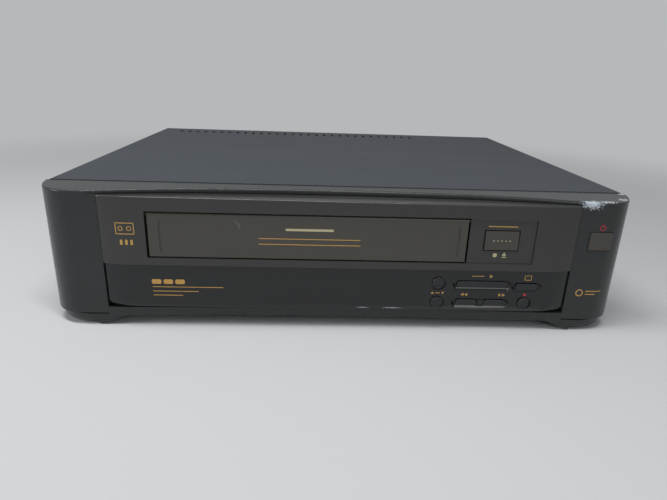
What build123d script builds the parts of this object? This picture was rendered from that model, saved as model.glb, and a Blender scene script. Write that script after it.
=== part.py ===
from build123d import *
import math
import os

# A video cassette recorder: case, front with its buttons, cassette carriage and tape drive.
# X runs to the right, Y backwards from the front of the towers, Z up from the table.
# The last step moves the origin to the middle of the footprint. All sizes in millimetres.

# Cassette, and the carriage round it
cassette_width = 188.0
cassette_gap = 1.0
holder_sheet = 1.0
holder_half = cassette_width / 2 + cassette_gap + holder_sheet
holder_gap = 0.8
cheek_sheet = 1.0
cheek_offset = holder_half + holder_gap + cheek_sheet / 2
bracket_gap = 1.5
bracket_sheet = 1.2
bracket_inner = cheek_offset + cheek_sheet / 2 + bracket_gap
deck_edge = 3.5
deck_half = bracket_inner + bracket_sheet + deck_edge
throat_margin = 5.2
throat_width = 2 * (holder_half + throat_margin)

# Width of the front, from left to right
tower_width = 39.0
door_margin = 28.8
bay_width = 42.9
bay_margin = 27.9
window_width = door_margin + throat_width + bay_width + bay_margin
window_half = window_width / 2
body_width = window_width + 2 * tower_width
body_half = body_width / 2
deck_x = door_margin + throat_width / 2 - window_half

# Case
seam_y = 21.9
cover_depth = 284.1
cover_rear = seam_y + cover_depth
corner_radius = 21.7
bezel_wall = 2.5
tower_bottom = 8.6
strip_bottom = 6.2
strip_height = 6.6
strip_sag = 2.2
strip_wall = 3.0
strip_edge = 1.5
return_depth = 8.0
return_wall = 2.0
lip_height = 3.8
lip_fall = 1.6
lip_step = 0.4
lip_sag = 12.6
lip_middle_radius = 1500.0
lip_middle_half = 78.0
lip_end_inset = 30.0
lip_end_bulge = 1.6
lip_edge = 1.3
tongue_length = 6.0
tongue_thickness = 1.2
fit_gap = 0.3
merge = 0.5
seat_gap = 0.1

# Front foot pads, moulded on the bezel
foot_radius = 28.0
foot_inset = 28.0
foot_top = 7.8
foot_bottom = 0.8
foot_edge = 4.5
foot_neck = 20.0
tail_length = 22.0
tail_root = 4.0
tail_sink = 0.6
pad_radius = 16.0
pad_sink = 0.7

# Front inserts: upper fascia and control panel
insert_gap = 0.4
insert_flat_inset = 18.0
insert_end_radius = 31.0
insert_wall = 2.5
insert_flange = 2.0
insert_depth = 8.0
panel_front = -1.5
panel_gap = 0.6
panel_height = 30.0
panel_bevel = 4.0
panel_bevel_depth = 2.2
fascia_front = -3.0
fascia_height = 43.9
fascia_top_depth = 16.0
fascia_edge = 0.9

# Heights that follow from the stack of the front
window_bottom = strip_bottom + strip_height
panel_bottom = window_bottom + panel_gap
panel_top = panel_bottom + panel_height
fascia_bottom = panel_top + insert_gap
fascia_top = fascia_bottom + fascia_height
window_top = fascia_top + insert_gap
cover_top = window_top + lip_height

# Cassette opening and door
throat_height = 30.1
throat_lift = 4.8
throat_depth = 11.0
throat_wall = 2.0
door_thickness = 2.5
door_setback = 0.75
door_side_gap = 1.3
door_end_gap = 0.8
door_pin_radius = 0.7
door_pin_reach = 1.5
pin_clearance = 0.05
groove_width = 1.4
groove_height = 20.0
groove_depth = 0.5
groove_inset_left = 7.4
groove_inset_right = 5.4

# Sunk panel of the stop/eject button
bay_height = 29.2
bay_depth = 1.0
eject_width = 21.5
eject_height = 12.5
eject_offset = 10.3
eject_lift = 9.5
eject_gap = 0.8
eject_slope = 0.6
eject_sink = 0.1
bump_radius = 0.45
bump_pitch = 2.6

# Buttons of the control panel
button_gap = 0.25
button_travel = 0.8
button_edge = 0.5
pill_sink = 0.2
round_proud = 0.3
round_edge = 0.4
button_flange = 1.0
stem_radius = 1.5
panel_post_left = 12.0
panel_post_right = 18.0
divider_reach = 4.0
divider_sink = 1.0
pill_height = 4.5
play_inset = 57.85
play_x = window_half - play_inset
play_lift = 19.9
play_z = panel_bottom + play_lift
play_width = 34.1
search_lift = 6.9
search_z = panel_bottom + search_lift
search_width = 14.7
search_pitch = 19.1
search_shift = 0.05
rewind_x = play_x + search_shift - search_pitch / 2
forward_x = rewind_x + search_pitch
tv_inset = 28.05
tv_x = window_half - tv_inset
tv_lift = 18.9
tv_z = panel_bottom + tv_lift
tv_width = 15.1
channel_inset = 87.2
channel_x = window_half - channel_inset
channel_up_lift = 20.7
channel_up_z = panel_bottom + channel_up_lift
channel_down_lift = 7.0
channel_down_z = panel_bottom + channel_down_lift
record_inset = 28.6
record_x = window_half - record_inset
record_lift = 7.1
record_z = panel_bottom + record_lift
round_radius = 4.0
ring_radius = 5.0
ring_depth = 0.8
dish_radius = 9.0
dish_depth = 0.7
scoop_depth = 1.3
scoop_tip = 3.0
scoop_rise = 0.8
scoop_drop = 2.6
power_inset = 16.0
power_x = window_half + power_inset
power_lift = 20.6
power_z = fascia_bottom + power_lift
power_width = 15.0
power_height = 12.0
power_gap = 0.4
power_proud = 0.7
power_depth = 3.6
power_flange = 0.6
power_switch_drop = 1.5
power_travel = 1.5

# Control board and its switches
board_thickness = 1.6
control_board_y = 10.0
switch_size = 6.0
switch_depth = 3.5
plunger_length = 0.8
plunger_radius = 1.7
board_post_radius = 2.5
board_margin = 1.2
board_left_reach = 16.0
board_right_reach = 13.0
board_upper_reach = 14.0
board_upper_height = 38.0
board_hole_offset = 24.0
board_hole_radius = 3.0

# Cover, tray and rear panel
cover_sheet = 0.8
cover_inset = 1.3
cover_bottom = 9.0
cover_bend = 2.2
cover_flange = 7.0
vent_count = 30
vent_pitch = 8.8
vent_side = 25.0
vent_first_x = vent_side - body_half
vent_width = 2.4
vent_length = 13.0
vent_rear_inset = 16.0
tray_sheet = 1.0
tray_wall_height = 24.0
tray_rear_height = 6.0
tray_front_gap = 2.0
tray_front_height = 3.0
tray_vent_count = 9
tray_vent_pitch = 12.0
tray_vent_width = 3.0
tray_vent_length = 30.0
tray_vent_inset = 8.0
tray_vent_front = 30.0
rear_sheet = 1.2
panel_rear = cover_rear - cover_sheet - 2 * seat_gap
panel_inside = panel_rear - rear_sheet
rear_side_gap = 0.5
rear_slot_count = 8
rear_slot_pitch = 9.0
rear_slot_width = 3.0
rear_slot_bottom = 60.0
rear_slot_height = 18.0
rear_slot_offset = 40.0
screw_head_radius = 3.3
screw_head_height = 1.3
side_head_height = 1.25
screw_radius = 1.4
screw_clearance = 0.2
side_screw_front = 48.0
side_screw_rear = 66.0
side_screw_lift = 11.0
rear_screw_drop = 3.6
screw_reach = 5.0
rear_foot_radius = 10.0
rear_foot_side = 40.0
rear_foot_x = body_half - rear_foot_side
rear_foot_inset = 26.0
rear_foot_taper = 1.2
rear_stud_radius = 2.5
rear_stud_head = 3.5
rear_stud_height = 1.8

# Heights of the inside
floor_top = tower_bottom + tray_sheet
deck_clearance = 12.4
board_lift = 6.4
board_stand_radius = 3.0
deck_bottom = floor_top + deck_clearance
deck_sheet = 1.5
deck_top = deck_bottom + deck_sheet
board_bottom = floor_top + board_lift
board_top = board_bottom + board_thickness

# Tape deck plate
deck_front = 36.0
deck_post_inset = 8.0
deck_post_radius = 4.0
deck_corner = 4.0
deck_edge_inset = 6.0
deck_edge_drop = 4.0
deck_edge_sheet = 1.2
deck_screw_reach = 8.0
deck_screw_head = 3.0
deck_screw_height = 1.8
motor_hole_radius = 3.0
shaft_clearance = 0.05

# Cassette carriage
slide_travel = 60.0
drop_travel = 20.0
bracket_front = deck_front
cheek_front = deck_front
cheek_depth = 56.0
bracket_tail = 8.0
bracket_rear = cheek_front + cheek_depth + slide_travel + bracket_tail
holder_rise = 1.0
holder_height = 27.9
holder_bottom = fascia_bottom + throat_lift + holder_rise
holder_top = holder_bottom + holder_height
bridge_gap = 3.5
slider_height = 31.0
slider_top = holder_top + bridge_gap
slider_bottom = slider_top - slider_height
guide_pin_radius = 1.8
guide_pin_lift = 8.0
guide_pin_z = slider_bottom + guide_pin_lift
guide_pin_inset = 6.0
holder_lead = 3.0
holder_front = cheek_front - holder_lead
holder_depth = 59.0
holder_lip = 11.0
holder_pin_radius = 1.5
holder_pin_drop = 4.5
holder_pin_inset = 12.0
rack_width = 5.0
rack_gap = 1.1
rack_lead = 2.0
rack_tail = 4.0
rack_front = cheek_front - rack_lead
bracket_slot_gap = 0.2
bracket_top_drop = 1.5
bracket_foot_start = 18.0
bracket_foot_inset = 0.2
gear_stud_radius = 2.0
gear_stud_reach = 0.8
holder_slot_gap = 0.1
slider_window_side = 19.3
slider_window_half = cheek_offset - slider_window_side
slider_window_inset = 12.0
holder_window_side = 38.0
holder_window_half = holder_half - holder_window_side
holder_window_front = 16.0
holder_window_rear = 14.0
holder_stop_lift = 6.0
holder_stop_depth = 1.2
pin_reach = 0.3
guide_pin_reach = 0.6
gear_module = 1.0
carriage_teeth = 16
carriage_gear_y = cheek_front + slide_travel
rack_rear = carriage_gear_y + rack_tail
backlash = 0.24

# Reels and idler
reel_offset = 46.0
cassette_reel_inset = 60.0
reel_y = holder_front + holder_depth + slide_travel - cassette_reel_inset
reel_radius = 26.0
reel_disc = 3.0
reel_lift = 1.5
reel_hub_radius = 11.0
spindle_radius = 4.4
spindle_height = 17.0
reel_shaft_radius = 2.5
reel_shaft_height = 13.0
reel_bore_height = 14.0
reel_hub_height = 3.0
reel_wing_reach = 1.6
reel_wing_width = 1.8
reel_wing_height = 13.0
reel_seat_radius = 5.0
idler_lead = 20.0
idler_y = reel_y + idler_lead
idler_arm_length = 24.0
idler_wheel_radius = 14.0
idler_roller_radius = 9.7
idler_pulley_radius = 10.0
idler_shaft_radius = 2.0
idler_arm_width = 9.0
idler_arm_gap = 0.6
idler_shaft_top = 3.4
idler_pin_radius = 1.5
idler_pin_drop = 0.8
idler_seat_radius = 5.0
idler_seat_height = 1.1
idler_seat_drop = 1.2
pulley_flange = 1.6
pulley_flange_height = 0.5
pulley_floor_gap = 0.7
pulley_groove_depth = 0.15
wheel_height = 2.5
arm_sheet = 1.2

# Capstan, pinch roller and tension arm
capstan_offset = 62.0
capstan_lead = 54.0
capstan_y = reel_y + capstan_lead
capstan_radius = 2.0
capstan_lift = 28.5
capstan_top = deck_top + capstan_lift
housing_wall = 3.2
housing_flange = 8.0
housing_flange_height = 1.5
housing_height = 11.5
housing_drop = 1.4
flywheel_hub = 4.0
flywheel_gap = 0.4
flywheel_radius = 26.0
flywheel_height = 3.2
capstan_pulley_radius = 7.0
pulley_height = 2.7
belt_thickness = 1.3
pinch_pivot_inset = 14.0
pinch_pivot_offset = deck_half - pinch_pivot_inset
pinch_pivot_lead = 14.0
pinch_pivot_y = capstan_y + pinch_pivot_lead
pinch_roller_side = 6.8
pinch_roller_offset = capstan_offset + pinch_roller_side
pinch_roller_lead = 26.1
pinch_roller_y = capstan_y + pinch_roller_lead
pinch_roller_radius = 8.0
pinch_roller_height = 15.0
pinch_arm_lift = 28.5
pinch_arm_z = deck_top + pinch_arm_lift
pinch_arm_sheet = 2.0
pinch_arm_width = 8.0
pinch_hub_radius = 5.0
pinch_hub_height = 16.0
pinch_shaft_radius = 2.5
pinch_seat_radius = 4.0
roller_gap = 1.0
roller_pin_radius = 1.5
roller_edge = 0.5
tension_pivot_inset = 20.0
tension_pivot_offset = tension_pivot_inset - deck_half
tension_pivot_lead = 66.0
tension_pivot_y = reel_y + tension_pivot_lead
tension_pole_offset = -62.0
tension_pole_lead = 51.0
tension_pole_y = reel_y + tension_pole_lead
tension_pole_radius = 1.8
tension_arm_width = 6.0
tension_lift = 5.0
tension_hub_radius = 3.6
tension_hub_height = 3.0
tension_shaft_radius = 2.0
tension_seat_radius = 3.5

# Drum and heads
drum_lead = 97.0
drum_y = reel_y + drum_lead
deck_tail = 39.0
deck_rear = drum_y + deck_tail
drum_radius = 31.0
drum_tilt = 6.0
drum_lift = 4.5
lower_drum_height = 15.5
drum_gap = 0.4
upper_drum_height = 15.6
drum_shaft_radius = 3.0
drum_base_radius = 20.0
drum_base_sink = 3.0
drum_shaft_cover = 2.0
drum_step_height = 3.0
drum_step_inset = 8.0
balance_hole_radius = 3.0
balance_hole_reach = 16.0
balance_hole_depth = 4.0
head_height = 17.0
head_lift = 9.0
erase_offset = -75.0
erase_y = drum_y - 17.0
erase_width = 12.0
erase_depth = 8.0
audio_offset = 67.0
audio_front = drum_y - 2.0
audio_width = 10.0
audio_depth = 9.0
audio_drop = 1.0
audio_plate_left = 8.0
audio_plate_width = 18.0
audio_plate_depth = 14.0
audio_plate_height = 3.0
stand_left = 2.0
stand_width = 10.0
stand_sheet = 3.0
guide_height = 28.0
guide_radius = 2.0
guide_flange_radius = 3.2
guide_foot_height = 10.0
guide_flange_height = 2.0
left_guide_offset = -70.0
left_guide_y = drum_y - 2.0
right_guide_offset = 56.0
right_guide_y = drum_y + 14.0

# Threading mechanism under the deck
arm_gear_teeth = 28
arm_axis_offset = 14.0
arm_axis_lag = 16.7
arm_axis_y = drum_y - arm_axis_lag
thread_shaft_drop = 0.6
pole_reach = 38.3
pole_start = 234.9
pole_sweep = 93.0
pole_radius = 3.0
pole_height = 26.5
pole_top = deck_top + pole_height
slot_width = 7.0
loading_gear_teeth = 40
loading_gear_angle = 120.0
pinion_teeth = 10
pinion_angle = 150.0
gear_height = 3.0
gear_lift = 3.9
thread_shaft_radius = 2.0
thread_hub_radius = 5.0
lever_width = 8.0
lever_height = 2.5
lever_gap = 0.5
pole_stem_radius = 2.6
pole_base_length = 9.0
pole_base_width = 7.0
pole_base_height = 3.0
pole_waist = 0.6
pole_flange_height = 2.0
pole_flange_lift = 5.0
motor_shaft_radius = 1.0
motor_shaft_reach = 6.0
motor_hub_radius = 3.0
motor_hub_height = 1.5
motor_edge = 1.5
loading_motor_radius = 11.0
loading_motor_height = 24.0

# Rear sockets and power supply
deck_side_gap = 7.0
power_board_inset = 8.0
power_board_left = power_board_inset - body_half
power_board_right = deck_x - deck_half - deck_side_gap
power_board_front = 112.0
main_board_inset = 6.0
main_board_left = deck_x + deck_half + deck_side_gap
main_board_right = body_half - main_board_inset
socket_board_gap = 8.0
socket_board_front = deck_rear + socket_board_gap
phono_radius = 4.15
phono_length = 9.0
socket_collar = 0.4
socket_collar_reach = 0.3
socket_hole_gap = 0.15
jack_margin = 10.0
jack_depth = 14.0
jack_cap = 9.0
phono_bore = 1.6
phono_side = 172.0
phono_x = main_board_right - phono_side
phono_pitch = 18.0
phono_z = 28.0
aerial_radius = 4.75
aerial_length = 12.0
modulator_margin = 11.0
modulator_depth = 40.0
modulator_cap = 14.0
aerial_bore = 1.6
aerial_side = 104.0
aerial_x = main_board_right - aerial_side
aerial_pitch = 22.0
aerial_z = 38.0
inlet_side = 40.0
inlet_x = inlet_side - body_half
inlet_z = 38.0
inlet_width = 26.0
inlet_height = 16.0
inlet_flange = 2.0
inlet_rim = 3.1
inlet_depth = 12.0
inlet_hollow_width = 15.5
inlet_hollow_height = 7.5
inlet_hollow_depth = 10.0
inlet_pin_radius = 1.2
inlet_pin_offset = 4.3
inlet_corner = 2.0
board_rear_gap = 5.8
board_rear = panel_inside - board_rear_gap
board_post_inset = 6.0
power_post_inset = 4.0
main_board_front = 32.0
front_post_lead = 10.0
socket_post_lead = 8.0
rear_post_side = 10.0
main_board_side = 4.0

# Parts on the main board
tuner_width = 52.0
tuner_depth = 46.0
tuner_height = 24.0
tuner_side = 8.0
tuner_rear_gap = 6.0
chip_width = 28.0
chip_depth = 10.0
chip_height = 3.6
small_chip_width = 14.0
small_chip_depth = 8.0
small_chip_side = 6.0
small_chip_lead = 22.0
small_can_radius = 4.0
small_can_height = 11.0
small_can_side = 42.0
small_can_lead = 10.0
large_can_radius = 5.0
large_can_height = 16.0
large_can_side = 56.0
large_can_lead = 6.0
coil_width = 8.0
coil_depth = 16.0
coil_height = 9.0
row_count = 4
row_pitch = 44.0
row_lead = 24.0
row_side = 10.0
column_count = 5
column_pitch = 20.0
column_side = 17.0

# Parts on the power board
core_width = 38.0
core_depth = 16.0
core_height = 34.0
core_lead = 34.0
winding_width = 26.0
winding_depth = 30.0
winding_height = 22.0
winding_lift = 6.0
winding_corner = 5.0
sink_side = 4.0
sink_lead = 66.0
sink_sheet = 3.0
sink_depth = 44.0
sink_height = 38.0
fin_count = 6
fin_pitch = 8.5
fin_sheet = 1.5
fin_reach = 14.0
main_capacitor_side = 14.0
main_capacitor_lead = 84.0
main_capacitor_radius = 11.0
main_capacitor_height = 34.0
middle_capacitor_side = 12.0
middle_capacitor_lead = 112.0
middle_capacitor_radius = 6.5
middle_capacitor_height = 24.0
minor_capacitor_radius = 5.0
minor_capacitor_height = 20.0
minor_capacitor_side = 28.0
minor_capacitor_lead = 122.0
last_capacitor_side = 12.0
last_capacitor_lead = 132.0


def block(x0, x1, y0, y1, z0, z1):
    """A block between two corners."""
    middle = Pos((x0 + x1) / 2, (y0 + y1) / 2, (z0 + z1) / 2)
    return middle * Box(abs(x1 - x0), abs(y1 - y0), abs(z1 - z0))


def post(x, y, z0, z1, radius):
    """An upright cylinder."""
    return Pos(x, y, (z0 + z1) / 2) * Cylinder(radius, z1 - z0)


def pin_x(x0, x1, y, z, radius):
    """A cylinder along X."""
    return Pos((x0 + x1) / 2, y, z) * Rot(0, 90, 0) * Cylinder(radius, abs(x1 - x0))


def pin_y(x, y0, y1, z, radius):
    """A cylinder along Y."""
    return Pos(x, (y0 + y1) / 2, z) * Rot(90, 0, 0) * Cylinder(radius, abs(y1 - y0))


def front_view(depth):
    """The plane of a front view: X right, Z up, at a depth."""
    return Plane((0, depth, 0), (1, 0, 0), (0, -1, 0))


def facing(sketch, y0, y1):
    """A front-view sketch as a solid between two depths."""
    return extrude(front_view(y1) * sketch, amount=y1 - y0)


def side_view(points, x0, x1):
    """A solid with a side-view outline of (y, z) points, between two X places."""
    face = make_face(Polyline(*points, close=True))
    return extrude(Plane((x0, 0, 0), (0, 1, 0), (1, 0, 0)) * face, amount=x1 - x0)


def plate(sketch, z0, z1):
    """A plan sketch as a solid between two heights."""
    return extrude(Pos(0, 0, z0) * sketch, amount=z1 - z0)


def group(pieces):
    """Separate solids that share one node."""
    return Compound(children=list(pieces))


def link(x0, y0, x1, y1, width):
    """Plan of a flat lever with round ends between two pivots."""
    length = math.hypot(x1 - x0, y1 - y0)
    turn = math.degrees(math.atan2(y1 - y0, x1 - x0))
    return Pos((x0 + x1) / 2, (y0 + y1) / 2) * Rot(0, 0, turn) * SlotCenterToCenter(length, width)


def gear_outline(teeth, phase):
    """Gear outline in its own plane, with a tooth centred at the phase, in radians."""
    pitch_radius = gear_module * teeth / 2
    base_radius = pitch_radius * math.cos(math.radians(20))
    tip_radius = pitch_radius + gear_module
    root_radius = pitch_radius - 1.25 * gear_module
    rolled = math.tan(math.radians(20)) - math.radians(20)
    half_pitch = math.pi / (2 * teeth) - backlash / (2 * pitch_radius)

    def half_angle(radius):
        pressure = math.acos(min(1.0, base_radius / radius))
        return half_pitch + rolled - (math.tan(pressure) - pressure)

    points = []
    for number in range(teeth):
        middle = phase + 2 * math.pi * number / teeth
        for radius, side in ((root_radius, -1), (tip_radius, -1), (tip_radius, 1), (root_radius, 1)):
            angle = middle + side * half_angle(radius)
            points.append((radius * math.cos(angle), radius * math.sin(angle)))
    return make_face(Polyline(*points, close=True))


def meshing_phase(direction, phase, teeth, other_teeth):
    """Phase of the second gear of a pair, seen from the first in a direction."""
    return direction + math.pi - (math.pi - teeth * (direction - phase)) / other_teeth


# Case


def tower_plan(inset, back):
    """Plan of the bezel's outside: straight sides and two round front corners."""
    width = body_width - 2 * inset
    radius = min(corner_radius, seam_y - 0.1) - inset
    sheet = Pos(0, (inset + back) / 2) * Rectangle(width, back - inset)
    return fillet(sheet.vertices().sort_by(Axis.Y)[:2], radius)


def lip_hollow():
    """Plan of the area in front of the lip's hollow front edge."""
    middle = lip_middle_half
    end = body_half - lip_end_inset
    rise = lip_middle_radius - math.sqrt(lip_middle_radius**2 - middle**2)
    bend = lip_sag - rise
    chord = math.hypot(end - middle, bend)
    side_x = (middle + end) / 2 + lip_end_bulge * bend / chord
    side_y = bend / 2 + lip_end_bulge * (end - middle) / chord
    edges = [
        ThreePointArc((-end, 0), (-side_x, side_y), (-middle, bend)),
        ThreePointArc((-middle, bend), (0, lip_sag), (middle, bend)),
        ThreePointArc((middle, bend), (side_x, side_y), (end, 0)),
        Polyline((end, 0), (end, -5), (-end, -5), (-end, 0)),
    ]
    return make_face(Curve() + edges)


def front_lip():
    """Top of the bezel, falling to the front, with its hollow front edge rounded over."""
    high = cover_top - lip_step
    low = high - lip_fall
    slab = plate(tower_plan(0, seam_y) - lip_hollow(), window_top, cover_top)
    above = [(-5, low), (0, low), (seam_y, high), (seam_y + 1, cover_top + 1), (-5, cover_top + 1)]
    slab -= side_view(above, -body_half - 1, body_half + 1)
    top = slab.faces().sort_by(Axis.Z)[-1]
    rim = top.edges().filter_by(lambda edge: edge.center().Y < seam_y - 0.3)
    return fillet(rim, lip_edge)


def foot_pad(side):
    """A round foot pad, with the tail that flares up into the bottom strip."""
    centre = side * (body_half - foot_radius)
    disc = post(centre, foot_inset, foot_bottom, foot_top, foot_radius)
    disc = fillet(disc.edges().sort_by(Axis.Z)[0], foot_edge)
    rise = strip_bottom + tail_sink - foot_bottom
    inner = centre - side * (tail_length + tail_root)
    outer = centre - side * tail_root
    middle = (inner + outer) / 2
    bend = (tail_length**2 + rise**2) / (4 * rise)
    dip = bend - math.sqrt(bend**2 - (tail_length / 4) ** 2)
    edges = [
        Line((outer, foot_top), (outer, foot_bottom)),
        ThreePointArc(
            (outer, foot_bottom),
            ((outer + middle) / 2, foot_bottom + dip),
            (middle, foot_bottom + rise / 2),
        ),
        ThreePointArc(
            (middle, foot_bottom + rise / 2),
            ((inner + middle) / 2, foot_bottom + rise - dip),
            (inner, foot_bottom + rise),
        ),
        Line((inner, foot_bottom + rise), (inner, foot_top)),
        Line((inner, foot_top), (outer, foot_top)),
    ]
    tail = facing(make_face(edges), fit_gap, seam_y)
    pad = disc + tail
    neck = post(centre, foot_inset, foot_top - merge, tower_bottom + merge, foot_neck)
    pad += neck & block(-body_half, body_half, 0, seam_y, 0, tower_bottom + merge)
    return pad - post(centre, foot_inset, -1, foot_bottom + pad_sink, pad_radius + fit_gap)


def power_window():
    """Opening for the power button in the right tower."""
    half = power_width / 2 + power_gap
    tall = power_height / 2 + power_gap
    return block(power_x - half, power_x + half, -1, 8, power_z - tall, power_z + tall)


def front_bezel():
    """Towers, lip, bottom strip and foot pads as one moulding, open behind."""
    shell = plate(tower_plan(0, seam_y), tower_bottom, window_top)
    shell -= plate(tower_plan(bezel_wall, seam_y + 1), tower_bottom + bezel_wall, window_top)
    for side in (-1, 1):
        inner = side * window_half
        outer = side * (window_half + return_wall)
        shell += block(inner, outer, 0.5, return_depth, tower_bottom, window_top)
    shell -= block(-window_half, window_half, -1, seam_y + 1, 0, window_top)
    edges = [
        ThreePointArc((-window_half, 0), (0, strip_sag), (window_half, 0)),
        Polyline((window_half, 0), (window_half, seam_y), (-window_half, seam_y), (-window_half, 0)),
    ]
    strip = plate(make_face(Curve() + edges), strip_bottom, window_bottom)
    lower = strip.edges().group_by(Axis.Z)[0].sort_by(lambda edge: edge.center().Y)[0]
    strip = fillet(lower, strip_edge)
    hollow = window_half - 2 * return_wall - tail_length
    strip -= block(
        -hollow, hollow, strip_sag + strip_wall, seam_y + 1, strip_bottom + strip_wall, cover_top
    )
    bezel = shell + strip + front_lip() + foot_pad(-1) + foot_pad(1)
    high = cover_top - cover_sheet - fit_gap
    reach = body_half - cover_inset - cover_sheet - 3
    bezel += block(-reach, reach, seam_y - 1, seam_y + tongue_length, high - tongue_thickness, high)
    return bezel - power_window()


def front_feet():
    """Rubber pads under the two moulded front feet."""
    pads = []
    for side in (-1, 1):
        pad = post(side * (body_half - foot_radius), foot_inset, 0, foot_bottom + pad_sink, pad_radius)
        pads.append(chamfer(pad.edges().sort_by(Axis.Z)[0], 0.5))
    return group(pads)


def insert_outline(inset, front, back):
    """Plan of a front insert: flat front, ends that curve back."""
    half = window_half - insert_gap
    flat = window_half - insert_flat_inset
    radius = insert_end_radius - inset
    centre_y = front + insert_end_radius
    sweep = math.asin((half - inset - flat) / radius)
    end = (half - inset, centre_y - radius * math.cos(sweep))
    bend = (flat + radius * math.sin(sweep / 2), centre_y - radius * math.cos(sweep / 2))
    edges = [
        Line((-flat, front + inset), (flat, front + inset)),
        ThreePointArc((flat, front + inset), bend, end),
        Polyline(end, (half - inset, back), (inset - half, back), (-end[0], end[1])),
        ThreePointArc((-end[0], end[1]), (-bend[0], bend[1]), (-flat, front + inset)),
    ]
    return make_face(Curve() + edges)


def door_box(grow):
    """Room of the door opening, grown sideways by a wall."""
    half = throat_width / 2 + grow
    bottom = fascia_bottom + throat_lift - grow
    top = fascia_bottom + throat_lift + throat_height + grow
    return -half + deck_x, half + deck_x, bottom, top


def eject_place():
    """Middle of the stop/eject button, in front view."""
    right = deck_x + throat_width / 2
    x = right + eject_offset + eject_width / 2
    z = fascia_bottom + throat_lift + eject_lift + eject_height / 2
    return x, z


def hinge_place():
    """Depth and height of the door's hinge line."""
    y = fascia_front + door_setback + door_thickness / 2
    z = fascia_bottom + throat_lift + throat_height - door_end_gap - door_thickness / 2
    return y, z


def upper_fascia():
    """Upper insert with the cassette opening, its throat and the sunk button panel."""
    piece = plate(insert_outline(0, fascia_front, insert_depth), fascia_bottom, fascia_top)
    rim = piece.edges().group_by(Axis.Z)[-1].filter_by(lambda edge: edge.center().Y < 0)
    piece = fillet(rim, fascia_edge)
    back = insert_depth + 1
    low = fascia_bottom + insert_flange
    high = fascia_top - insert_flange
    piece -= plate(insert_outline(insert_wall, fascia_front, back), low, high)
    reach = window_half - insert_gap
    piece += block(-reach, reach, insert_depth - 1, fascia_top_depth, high, fascia_top)
    x0, x1, z0, z1 = door_box(throat_wall)
    piece += block(x0, x1, fascia_front + insert_wall / 2, throat_depth, z0, z1)
    x0, x1, z0, z1 = door_box(0)
    piece -= block(x0, x1, fascia_front - 1, throat_depth + 1, z0, z1)
    sunk = fascia_front + bay_depth
    piece -= block(x1 - 0.01, x1 + bay_width, fascia_front - 1, sunk, z0, z0 + bay_height)
    eject_x, eject_z = eject_place()
    wide = eject_width / 2 + eject_gap
    tall = eject_height / 2 + eject_gap
    piece -= block(eject_x - wide, eject_x + wide, -5, 3, eject_z - tall, eject_z + tall)
    hinge_y, hinge_z = hinge_place()
    reach = throat_width / 2 + door_pin_reach - door_side_gap + fit_gap
    radius = door_pin_radius + pin_clearance
    return piece - pin_x(deck_x - reach, deck_x + reach, hinge_y, hinge_z, radius)


def cassette_door():
    """Door hung from pins at its top edge, with two upright grooves in its face."""
    hinge_y, hinge_z = hinge_place()
    half = throat_width / 2 - door_side_gap
    bottom = fascia_bottom + throat_lift + door_end_gap
    front = hinge_y - door_thickness / 2
    back = hinge_y + door_thickness / 2
    door = block(deck_x - half, deck_x + half, front, back, bottom, hinge_z)
    door += pin_x(deck_x - half, deck_x + half, hinge_y, hinge_z, door_thickness / 2)
    middle = (bottom + hinge_z) / 2
    places = (deck_x - half + groove_inset_left, deck_x + half - groove_inset_right)
    for x in places:
        groove = Pos(x, middle) * SlotOverall(groove_height, groove_width, rotation=90)
        door -= facing(groove, front - 1, front + groove_depth)
    reach = half + door_pin_reach
    return door + pin_x(deck_x - reach, deck_x + reach, hinge_y, hinge_z, door_pin_radius)


def hexagon(x0, x1, z, tip, top, bottom):
    """Front-view hexagon: level top and bottom, pointed ends at a height."""
    points = [(x0 - tip, z), (x0, z + top), (x1, z + top), (x1 + tip, z), (x1, z - bottom), (x0, z - bottom)]
    return make_face(Polyline(*points, close=True))


def scoop(x0, x1, z):
    """The sunk, six-sided scoop round a row of long buttons."""
    tall = pill_height / 2
    outer = hexagon(x0, x1, z, scoop_tip, tall + scoop_rise, tall + scoop_drop)
    inner = hexagon(x0, x1, z, scoop_tip / 2, tall + scoop_rise / 2, tall + scoop_rise / 2)
    floor = panel_front + scoop_depth
    cut = loft([front_view(panel_front) * outer, front_view(floor) * inner], ruled=True)
    return cut + facing(outer, panel_front - 1, panel_front)


def pill_hole(x, z, width):
    """Opening for one long button."""
    slot = SlotOverall(width + 2 * button_gap, pill_height + 2 * button_gap)
    return facing(Pos(x, z) * slot, panel_front - 1, panel_front + insert_wall + 1)


def round_places():
    """Front-view middles of the three round buttons."""
    return [(channel_x, channel_up_z), (channel_x, channel_down_z), (record_x, record_z)]


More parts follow.
